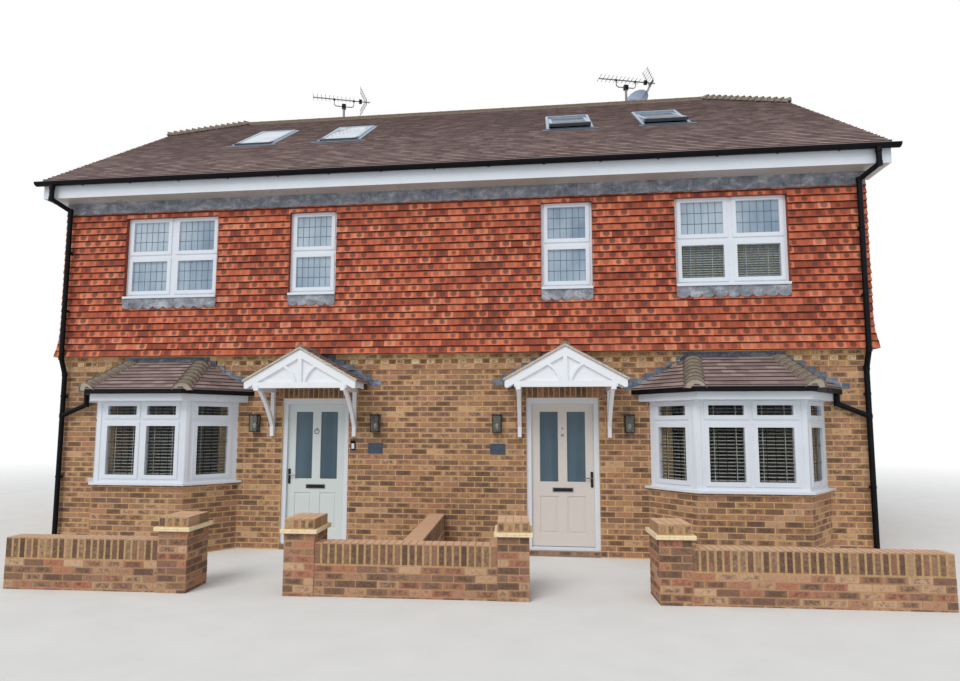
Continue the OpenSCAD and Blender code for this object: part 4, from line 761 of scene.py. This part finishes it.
b = Batch(16)
for i, (plane, half) in enumerate(bay_faces()):
    lay_bricks(b, plane, -half, half, 0, BAY_SILL - 0.004, lead_in=i)
b.make("bay_bricks", "brick")

# Garden walls with their soldier course, gate piers with caps
gx, gy = (Matrix.Rotation(GARDEN_TURN, 4, "Z") @ Vector(axis) for axis in ((1, 0, 0), (0, 1, 0)))
g0 = Vector((0, GARDEN_Y, 0))


def garden_plane(x, y, along):
    """Upright plane in the garden's own turned frame; along is its U direction there."""
    return Plane(g0 + gx * x + gy * y, gx * along[0] + gy * along[1])


def garden_face(batch, x, y, along, length, head=GARDEN_H - SOLDIER_H, lead_in=0):
    """Bricks over one face of a garden wall or pier."""
    lay_bricks(batch, garden_plane(x, y, along), 0, length, 0, head, top=head, lead_in=lead_in)


def soldier_row(batch, plane, length):
    """Upright bricks over the full thickness of a garden wall, which lies behind the plane."""
    n = max(1, round(length / 0.0755))
    step = length / n
    for i in range(n):
        batch.block(plane, (i * step + (0.005 if i else -0.003), GARDEN_H - 0.213, -STRETCHER - 0.003),
                    ((i + 1) * step - (0.005 if i < n - 1 else -0.003), GARDEN_H + 0.003, 0.003), edge=0.009)


b = Batch(17)
coping = Batch(36)
for x0, x1 in WALL_RUNS:
    garden_face(b, x0, GARDEN_FRONT, (1, 0), x1 - x0)
    garden_face(b, x1, GARDEN_BACK, (-1, 0), x1 - x0)
    soldier_row(coping, garden_plane(x0, GARDEN_FRONT, (1, 0)), x1 - x0)
garden_face(b, WALL_RUNS[0][0], GARDEN_BACK, (0, -1), STRETCHER)
garden_face(b, WALL_RUNS[-1][1], GARDEN_FRONT, (0, 1), STRETCHER)
depth = DIVIDE_BACK - DIVIDE_FRONT
garden_face(b, DIVIDE_LEFT, DIVIDE_BACK, (0, -1), depth)
garden_face(b, DIVIDE_RIGHT, DIVIDE_FRONT, (0, 1), depth)
soldier_row(coping, garden_plane(DIVIDE_RIGHT, DIVIDE_FRONT, (0, 1)), depth)
b.make("garden_wall_bricks", "garden_brick")

b = Batch(18)
caps = Batch(19)
cap_bricks = Batch(38)
for x in PIER_XS:
    for px, py, along, length in ((x, 0, (1, 0), PIER_W), (x + PIER_W, 0, (0, 1), PIER_D),
                                  (x + PIER_W, PIER_D, (-1, 0), PIER_W), (x, PIER_D, (0, -1), PIER_D)):
        garden_face(b, px, py, along, length, PIER_H, 0 if length == PIER_W else 1)
    front = garden_plane(x, 0, (1, 0))
    for k in range(3):
        for m in range(2):
            caps.block(
                front, (-CAP_OVER + k * CAP_TILE + 0.001, PIER_H + 0.0035 + m * 0.0195, -PIER_D - CAP_OVER),
                (-CAP_OVER + (k + 1) * CAP_TILE - 0.001, PIER_H + 0.0215 + m * 0.0215, CAP_OVER),
                tone=(caps.rng.uniform(0.8, 1.0), 0.5, 0.5, 1), edge=0.002)
    for k in range(4):
        for m in range(2):
            cap_bricks.block(
                front, (k * CAP_BRICK + (0.004 if k else -0.003), PIER_H + 0.0445, -PIER_D - 0.003 + m * 0.2225),
                ((k + 1) * CAP_BRICK - (0.004 if k < 3 else -0.003), PIER_H + 0.1495, -PIER_D + 0.2155 + m * 0.2275),
                edge=0.014)
b.make("pier_bricks", "garden_brick")
caps.make("pier_cap_tiles", "cap_tile")
cap_bricks.make("pier_cap_bricks", "cap_brick")
coping.make("coping_bricks", "coping")

# Heights above the hung tiles' foot and how far their backs stand out there: the kick at the foot
KICK = ((0.0, 0.110), (0.014, 0.109), (0.200, 0.078), (0.350, HANG), (99.0, HANG))


def kick(v):
    """How far the hung tiles' backs stand out from the wall at a height."""
    z = v - TILE_FOOT
    for (z0, d0), (z1, d1) in zip(KICK, KICK[1:]):
        if z <= z1:
            return d0 + (d1 - d0) * max(0.0, z - z0) / (z1 - z0)
    return HANG


# Hung tiles of the long walls and the gables
hung = {"bulge": kick, "jitter": 0.0036, "foot_out": 0.018}
windows = mirrored([(x - w / 2, SILL_Z - APRON, x + w / 2, HEAD_Z) for x, w in ((BIG_X, BIG_W), (SMALL_X, SMALL_W))])
porch_tops = mirrored([(PORCH_X - 0.12, 0, PORCH_X + 0.12, PORCH_APEX + 0.050)])
band = SOFFIT - LEAD_BAND
reach = HALF_W + 0.12
for name, plane, holes, seed in (("front", FRONT, windows + porch_tops, 20), ("back", BACK, windows, 21)):
    b = Batch(seed)
    lay_tiles(b, plane, [(-reach, TILE_FOOT), (reach, TILE_FOOT), (reach, band), (-reach, band)], TILE_FOOT, band,
              holes, ends=lambda v: (-HALF_W - kick(v) - 0.004, HALF_W + kick(v) + 0.004), **hung)
    b.make(name + "_hung_tiles", "hung_tile")

tan_p = tan(PITCH)
edge = -WALL_Y + HANG
reach = edge + 0.05
verge_top = RIDGE_Z - (-WALL_Y) * tan_p - ROOF_T - 0.04
hip_slope = (RIDGE_Z - HIP_Z) / (VERGE_X - RIDGE_X)
flat = RIDGE_Z - (HALF_W + HANG - RIDGE_X) * hip_slope - ROOF_T
flat_y = (RIDGE_Z - ROOF_T - flat) / tan_p
region = [(-reach, TILE_FOOT), (reach, TILE_FOOT), (reach, verge_top), (flat_y, flat), (-flat_y, flat),
          (-reach, verge_top)]
for side, plane, seed in (("right", RIGHT, 22), ("left", LEFT, 23)):
    b = Batch(seed)
    lay_tiles(b, plane, region, TILE_FOOT, flat, ends=lambda v: (WALL_Y - kick(v), -WALL_Y + kick(v)), **hung)
    b.make(side + "_hung_tiles", "hung_tile")

# Roof tiles of the long slopes and the half hips
slope_len = -EAVES_Y / cos(PITCH)
hip_v = (HIP_Y - EAVES_Y) / cos(PITCH)
light_v = (LIGHT_Y - EAVES_Y) / cos(PITCH)
region = [(-VERGE_X, 0), (VERGE_X, 0), (VERGE_X, hip_v), (RIDGE_X, slope_len), (-RIDGE_X, slope_len),
          (-VERGE_X, hip_v)]
lights = mirrored([(x - LIGHT_HALF, light_v - 0.02, x + LIGHT_HALF, light_v + 1.42) for x in LIGHT_XS])
for name, s, holes, seed in (("front", 1, lights, 24), ("back", -1, [], 25)):
    b = Batch(seed)
    slope = Plane((0, s * EAVES_Y, EDGE_Z), (s, 0, 0), (0, s * cos(PITCH), sin(PITCH)))
    lay_tiles(b, slope, region, 0.0, slope_len, holes, foot_out=0.015, jitter=0.0010)
    b.make(name + "_roof_tiles", "roof_tile")

b = Batch(26)
hip_len = hypot(VERGE_X - RIDGE_X, RIDGE_Z - HIP_Z)
for s in (1, -1):
    slope = Plane((s * VERGE_X, 0, HIP_Z), (0, s, 0), (s * -(VERGE_X - RIDGE_X), 0, RIDGE_Z - HIP_Z))
    lay_tiles(b, slope, [(HIP_Y, 0), (-HIP_Y, 0), (0, hip_len)], 0, hip_len, foot_out=0.014)
b.make("half_hip_tiles", "roof_tile")


def sweep(low, high, parts):
    """Angles in radians from low to high degrees in equal parts."""
    return [radians(low + (high - low) * i / parts) for i in range(parts + 1)]


def bonnet_row(tiles, ends, lo, hi, up_to, count, wide, lift):
    """Bonnet tiles up a hip from lo to hi, each open end raised and filled with mortar."""
    along = (hi - lo).normalized()
    side_dir = along.cross(Vector((0, 0, 1))).normalized()
    normal = side_dir.cross(along).normalized()
    length = (hi - lo).length * up_to
    for k in range(count):
        f0, f1 = k / count, min(1.0, (k + 1.15) / count)
        rings = []
        for f, w, up, sag in ((f0, wide, lift, wide * 0.42), (f1, wide * 0.66, lift * 0.42, wide * 0.34)):
            centre = lo + along * (length * f)
            rings.append([centre + side_dir * (w * sin(q)) + normal * (up - (up + sag) * (1 - cos(q)))
                          for q in sweep(-84, 84, 14)])
        centre = lo + along * (length * f0)
        inner = [centre + (p - centre) * 0.86 + along * 0.003 for p in rings[0]]
        tone = tiles.new_tone()
        tiles.strip(rings, tone)
        tiles.strip([inner, rings[0]], tone)
        ends.strip([[centre - normal * 0.05 + along * 0.012] * len(inner), [p + along * 0.006 for p in inner]], tone)


# Tiles and bonnets of the bay roofs, with the lead against the wall
b = Batch(27)
bonnets = Batch(28)
ends = Batch(34)
upstands = Batch(46)
EAVE, EAVE_SIDE = 0.200, 0.155
UPSTAND = 0.060
foot_z, top_z = BAY_BOX + 0.040, BAY_BOX + 0.475
half = BAY_HALF + (EAVE_SIDE - EAVE * cos(CANT)) / sin(CANT)
wall = BAY_WALL + EAVE_SIDE / sin(CANT)
front = -BAY_D - EAVE
for s in (1, -1):
    low, high = ([Vector((s * BAY_X + x, WALL_Y + y, z)) for x, y in plan] for z, plan in (
        (foot_z, ((-wall, 0), (-half, front), (half, front), (wall, 0))),
        (top_z, ((-BAY_RIDGE_HALF, 0), (-BAY_RIDGE_HALF, -0.020), (BAY_RIDGE_HALF, -0.020), (BAY_RIDGE_HALF, 0)))))
    for i in range(3):
        a, c = low[i], low[i + 1]
        corners = [a, c, high[i + 1], high[i]]
        u = (c - a).normalized()
        n = u.cross(high[i + 1] - c).normalized()
        plane = Plane(a, u, n.cross(u))
        region = [((p - a).dot(plane.u), (p - a).dot(plane.v)) for p in corners]
        length = max(p[1] for p in region)
        lay_tiles(b, plane, region, 0, length, gauge=length / 8, foot_out=0.018, head_out=0.002)
    for i in (0, 3):
        (x0, z0), (x1, z1) = sorted(((low[i].x, low[i].z), (high[i].x, high[i].z)))
        poly = [(x0, z0), (x1, z1), (x1, z1 + UPSTAND), (x0, z0 + UPSTAND)]
        upstands.plate(FRONT, (x0, min(z0, z1), x1, max(z0, z1) + UPSTAND), poly, low=0.009)
    for i in (1, 2):
        bonnet_row(bonnets, ends, low[i], high[i], 0.97, 8, 0.140, 0.085)
b.make("bay_roof_tiles", "bay_tile")
upstands.make("bay_roof_upstands", "step_lead")

# Bonnets of the main roof's four short hips
for sx in (1, -1):
    for sy in (1, -1):
        lo = Vector((sx * (VERGE_X - 0.01), sy * -HIP_Y, HIP_Z + 0.012))
        bonnet_row(bonnets, ends, lo, Vector((sx * RIDGE_X, 0, RIDGE_Z + 0.012)), 0.98, 14, 0.125, 0.085)
bonnets.make("hip_bonnets", "bonnet", smooth=True)
ends.make("hip_mortar", "bedding_mortar", smooth=True)

# Bedding along both sides of the ridge, and the joints between its tiles
b = Batch(39)
bits = int(2 * RIDGE_X / 0.15)
for sy in (1, -1):
    for k in range(bits):
        x0, x1 = (-RIDGE_X + 2 * RIDGE_X * (k + i) / bits for i in (0, 1))
        out = b.rng.uniform(0.004, 0.010)
        y = sy * RIDGE_R
        z = RIDGE_Z - abs(y) * tan_p
        b.strip([[(x, y + sy * 0.030, z - 0.022), (x, y + sy * out, z + 0.020), (x, y - sy * 0.004, z + 0.034)]
                 for x in (x0, x1)][::sy])
for k in range(22):
    x = -RIDGE_X + 0.22 + k * 0.437
    b.strip([[(x + dx, (RIDGE_R + r) * sin(q), RIDGE_Z - 0.062 + (RIDGE_R + r) * cos(q))
              for dx, r in ((0.014, 0.000), (0.010, 0.004), (-0.010, 0.004), (-0.014, 0.000))]
             for q in sweep(-88, 88, 12)])
b.make("ridge_mortar", "ridge_bedding", smooth=True)

# Tiles of the porch roofs with their mortared verges and half-round ridge
b = Batch(29)
ridge = Batch(30)
verge = Batch(35)
run = PORCH_HALF + 0.020
y0, y1 = WALL_Y - PORCH_D - 0.012, WALL_Y
apex = PORCH_APEX + 0.038
foot = PORCH_APEX - run * PORCH_SLOPE + 0.030
length = hypot(run, apex - foot)
bits = 12
for s in (1, -1):
    cx = s * PORCH_X
    for t in (1, -1):
        plane = Plane((cx + t * run, y0 if t > 0 else y1, foot), (0, t, 0), (-t * run, 0, apex - foot))
        lay_tiles(b, plane, [(0, 0), (y1 - y0, 0), (y1 - y0, length), (0, length)], 0, length, foot_out=0.012)
        for k in range(bits):
            x0, x1 = (cx + t * run * (1 - (k + i) / bits) for i in (0, 1))
            deep = verge.rng.uniform(0.002, 0.006)
            verge.strip([[(x, y0 - deep, z + 0.002), (x, y0 - deep - 0.002, z + 0.018), (x, y0 - deep, z + 0.028),
                          (x, y0 + 0.004, z + 0.036)]
                         for x, z in ((x, PORCH_APEX - abs(x - cx) * PORCH_SLOPE) for x in (x0, x1))][::t])
    near, far = ([(cx + 0.070 * sin(q), y, apex - 0.046 + 0.070 * cos(q)) for q in sweep(-78, 78, 12)]
                 for y in (y0 + 0.012, y1))
    ridge.strip([far, near])
    ridge.strip([near, [(cx, y0 + 0.012, apex - 0.046)] * len(near)])
b.make("porch_roof_tiles", "bay_tile")
ridge.make("porch_ridge_tiles", "bonnet", smooth=True)
verge.make("porch_verge_mortar", "bedding_mortar", smooth=True)


def window_lights(w, cols):
    """Lights of an upper window as (u, v, width, height) from its lower left corner, in two rows."""
    side, mullion, foot, head, transom = 0.092, 0.173, 0.127, 0.055, 0.157
    lw = (w - 2 * side - (cols - 1) * mullion) / cols
    lh = (HEAD_Z - SILL_Z - foot - head - transom) / 2
    return [(side + c * (lw + mullion), foot + r * (lh + transom), lw, lh) for c in range(cols) for r in range(2)]


def came_grid(batch, plane, u, v, w, h, cols, rows, depth):
    """Cames over a pane's outer face that part it into cols and rows."""
    for i in range(1, cols):
        x = u + w * i / cols
        batch.block(plane, (x - 0.004, v, depth - 0.001), (x + 0.004, v + h, depth + 0.0025), edge=0.001)
    for i in range(1, rows):
        z = v + h * i / rows
        batch.block(plane, (u, z - 0.004, depth - 0.001), (u + w, z + 0.004, depth + 0.003), edge=0.001)


def blind(plane, u0, u1, v0, v1, depth, pitch=0.045, tapes=(0.2, 0.8), tilt=0.24):
    """A slatted blind behind a pane, with its tapes at two shares of the width."""
    white = (0.5, 0.5, 0.5, 1)
    for i in range(int((v1 - v0) / pitch)):
        z = v0 + (i + 0.5) * pitch
        tilted = Plane(plane.at(0, z, -depth), plane.u, plane.v * cos(tilt) + plane.n * sin(tilt))
        b.block(tilted, (u0, -0.0015, -0.018), (u1, 0.0015, 0.018), white)
    for f in tapes:
        x = u0 + (u1 - u0) * f
        b.block(plane, (x - 0.004, v0, -depth + 0.019), (x + 0.004, v1, -depth + 0.021), white)


# Leaded lights
b = Batch(31)
for plane in (FRONT, BACK):
    for s in (1, -1):
        for cx, w, cols in ((BIG_X, BIG_W, 2), (SMALL_X, SMALL_W, 1)):
            for u, v, lw, lh in window_lights(w, cols):
                came_grid(b, plane, s * cx - w / 2 + u, SILL_Z + v, lw, lh, 6, 3, -0.005)
b.make("window_cames", "came")

b = Batch(32)
for plane, half in bay_faces():
    for u0, u1 in bay_lights(half, 0.078, 0.506, 0.215):
        came_grid(b, plane, u0, DRIVE + 0.998, u1 - u0, 0.675, 4, 3, -0.042)
        came_grid(b, plane, u0, DRIVE + 1.826, u1 - u0, 0.124, 4, 2, -0.042)
b.make("bay_cames", "bay_came")

# Blinds behind the bay panes and the lower lights of the right house's big window
b = Batch(33)
for plane, half in bay_faces():
    for u0, u1 in bay_lights(half, 0.070, 0.514, 0.222):
        blind(plane, u0, u1, DRIVE + 0.990, DRIVE + 1.960, 0.110)
for u, v, lw, lh in window_lights(BIG_W, 2)[::2]:
    left, foot = BIG_X - BIG_W / 2 + u, SILL_Z + v
    blind(FRONT, left - 0.01, left + lw + 0.01, foot - 0.01, foot + lh + 0.01, 0.075, 0.034, (0.25, 0.75), 0.7)
b.make("window_blinds", "blind")

# Bulbs in the lanterns, turned from a profile of heights and radii
b = Batch(40)
BULB = ((0.000, 0.012), (0.010, 0.013), (0.022, 0.020), (0.040, 0.026), (0.058, 0.024), (0.072, 0.014), (0.078, 0.001))
for s in (1, -1):
    for x in LANTERN_XS:
        foot = Vector((s * x, LANTERN_Y, LANTERN_BASE))
        b.strip([[foot + Vector((r * cos(q), r * sin(q), z)) for q in sweep(0, 360, 20)] for z, r in BULB])
b.make("lantern_bulbs", "bulb", smooth=True)

# White face of the door bell
b = Batch(41)
b.block(FRONT, (BELL_X - BELL_HALF, BELL_Z, 0.0235), (BELL_X + BELL_HALF, BELL_Z + BELL_H, 0.0262), edge=0.002)
b.make("bell_face", "white_plastic")

# Black clamps and dipole boxes of the aerials: each mast's X, boom height, turn and share of the boom ahead
b = Batch(42)
BOOM = 1.220
for x, z, turned, ahead in ((-2.716, 0.535, 16.8, 0.54), (3.286, 0.590, 14.9, 0.476)):
    q = radians(turned)
    boom = Plane((x, 0.190, RIDGE_Z + z), (cos(q), sin(q), 0))
    corner = BOOM * (1 - ahead) - 0.090
    b.block(boom, (-0.044, -0.197, -0.042), (0.044, -0.103, 0.042), edge=0.006)
    b.block(boom, (corner - 0.152, -0.040, -0.032), (corner - 0.088, 0.040, 0.032), edge=0.006)
    for u in (-0.208, 0.208):
        b.block(boom, (u - 0.020, -0.026, -0.014), (u + 0.020, 0.014, 0.014), edge=0.003)
b.make("aerial_clamps", "black_plastic")

# Black back plates of the handles and flaps of the letter plates
for s, body, seed in ((1, "right_door", 44), (-1, "left_door", 42)):
    b = Batch(seed)
    leaf = Plane((s * DOOR_X, LEAF_Y, 0), (1, 0, 0))
    u = s * (LEAF_W / 2 - 0.045)
    b.block(leaf, (u - 0.0175, DRIVE + 0.849, 0.0085), (u + 0.0175, DRIVE + 1.061, 0.0105), edge=0.002)
    b.block(leaf, (-0.130, DRIVE + 0.791, 0.0020), (0.130, DRIVE + 0.835, 0.0100), edge=0.002)
    b.make(body + "_black_plates", "black_metal", body)

# Soft edges on joinery
for name in ("upper_windows back_windows bay_windows door_frames porch_gables porch_brackets left_door right_door "
             "rooflight_frames rooflight_sashes bargeboards").split():
    assign(nodes[name].modifiers.new("weld", "WELD"), merge_threshold=0.00002)
    assign(nodes[name].modifiers.new("edges", "BEVEL"), width=0.002, segments=2, limit_method="ANGLE",
           angle_limit=radians(40), harden_normals=False)

# Plain pale floor that fades to white far away
FLOOR = 80
floor_mesh = bpy.data.meshes.new("floor")
floor_mesh.from_pydata([(x * FLOOR, y * FLOOR, -0.001) for x, y in ((-1, -1), (1, -1), (1, 1), (-1, 1))], [],
                       [(0, 1, 2, 3)])
floor = add_object("floor", floor_mesh)
fs = Shader("floor", 0.9, shine=0.1)
fs.put(Base_Color=fs.ramp(fs.noise(2, 4), (0.3, (228, 228, 227)), (0.7, (234, 234, 233))))
far = fs.node("VectorMath", {0: fs.coords((1, 1, 0))}, operation="LENGTH").outputs["Value"]
seen = fs.times(fs.span(far, 13, 26), fs.node("LightPath").outputs["Is Camera Ray"])
glow = fs.node("Emission", {"Color": (1, 1, 1, 1), "Strength": 1.0})
join = fs.node("MixShader", {0: seen, 1: fs.bsdf.outputs[0], 2: glow.outputs[0]})
feed(fs.tree, fs.tree.nodes["Material Output"].inputs["Surface"], join.outputs[0])
floor_mesh.materials.append(fs.mat)
floor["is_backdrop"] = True

# Soft sky light, white where it is seen straight or in glass, and a wide soft sun
world = bpy.data.worlds.new("sky")
bpy.context.scene.world = world
world.use_nodes = True
tree = world.node_tree
tree.nodes.clear()
rays = add_node(tree, "LightPath").outputs
sky = add_node(tree, "Background", {"Color": (0.93, 0.97, 1.0, 1), "Strength": 0.62})
white = add_node(tree, "Background", {"Color": (1, 1, 1, 1), "Strength": 1.0})
seen = rays["Is Camera Ray"]
for ray in ("Is Glossy Ray", "Is Transmission Ray"):
    seen = add_node(tree, "Math", {0: seen, 1: rays[ray]}, operation="MAXIMUM").outputs[0]
join = add_node(tree, "MixShader", {0: seen, 1: sky.outputs[0], 2: white.outputs[0]})
add_node(tree, "OutputWorld", {"Surface": join.outputs[0]})

lamp = assign(bpy.data.lights.new("soft_sun", "SUN"), energy=1.5, angle=radians(35), color=(1.0, 0.98, 0.95))
sun = add_object("soft_sun", lamp)
sun.rotation_euler = Vector((0.35, 0.75, -0.85)).to_track_quat("-Z", "Y").to_euler()

# Camera as fitted to the photo, with its place in metres and its turns in radians
CAM_PLACE = (1.43756, -12.02249, 1.75023)
YAW, TILT, ROLL = -0.11303, 0.09297, 0.00263
cam = add_object("camera", assign(bpy.data.cameras.new("camera"), sensor_width=36, lens=22.728, shift_x=0.010823,
                                  shift_y=0.030805, clip_end=400))
cam.matrix_world = (Matrix.Translation(CAM_PLACE) @ Matrix.Rotation(-YAW, 4, "Z")
                    @ Matrix.Rotation(math.pi / 2 + TILT, 4, "X") @ Matrix.Rotation(ROLL, 4, "Z"))
bpy.context.scene.camera = cam
bpy.context.scene.view_settings.view_transform = "Standard"

low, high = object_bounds()
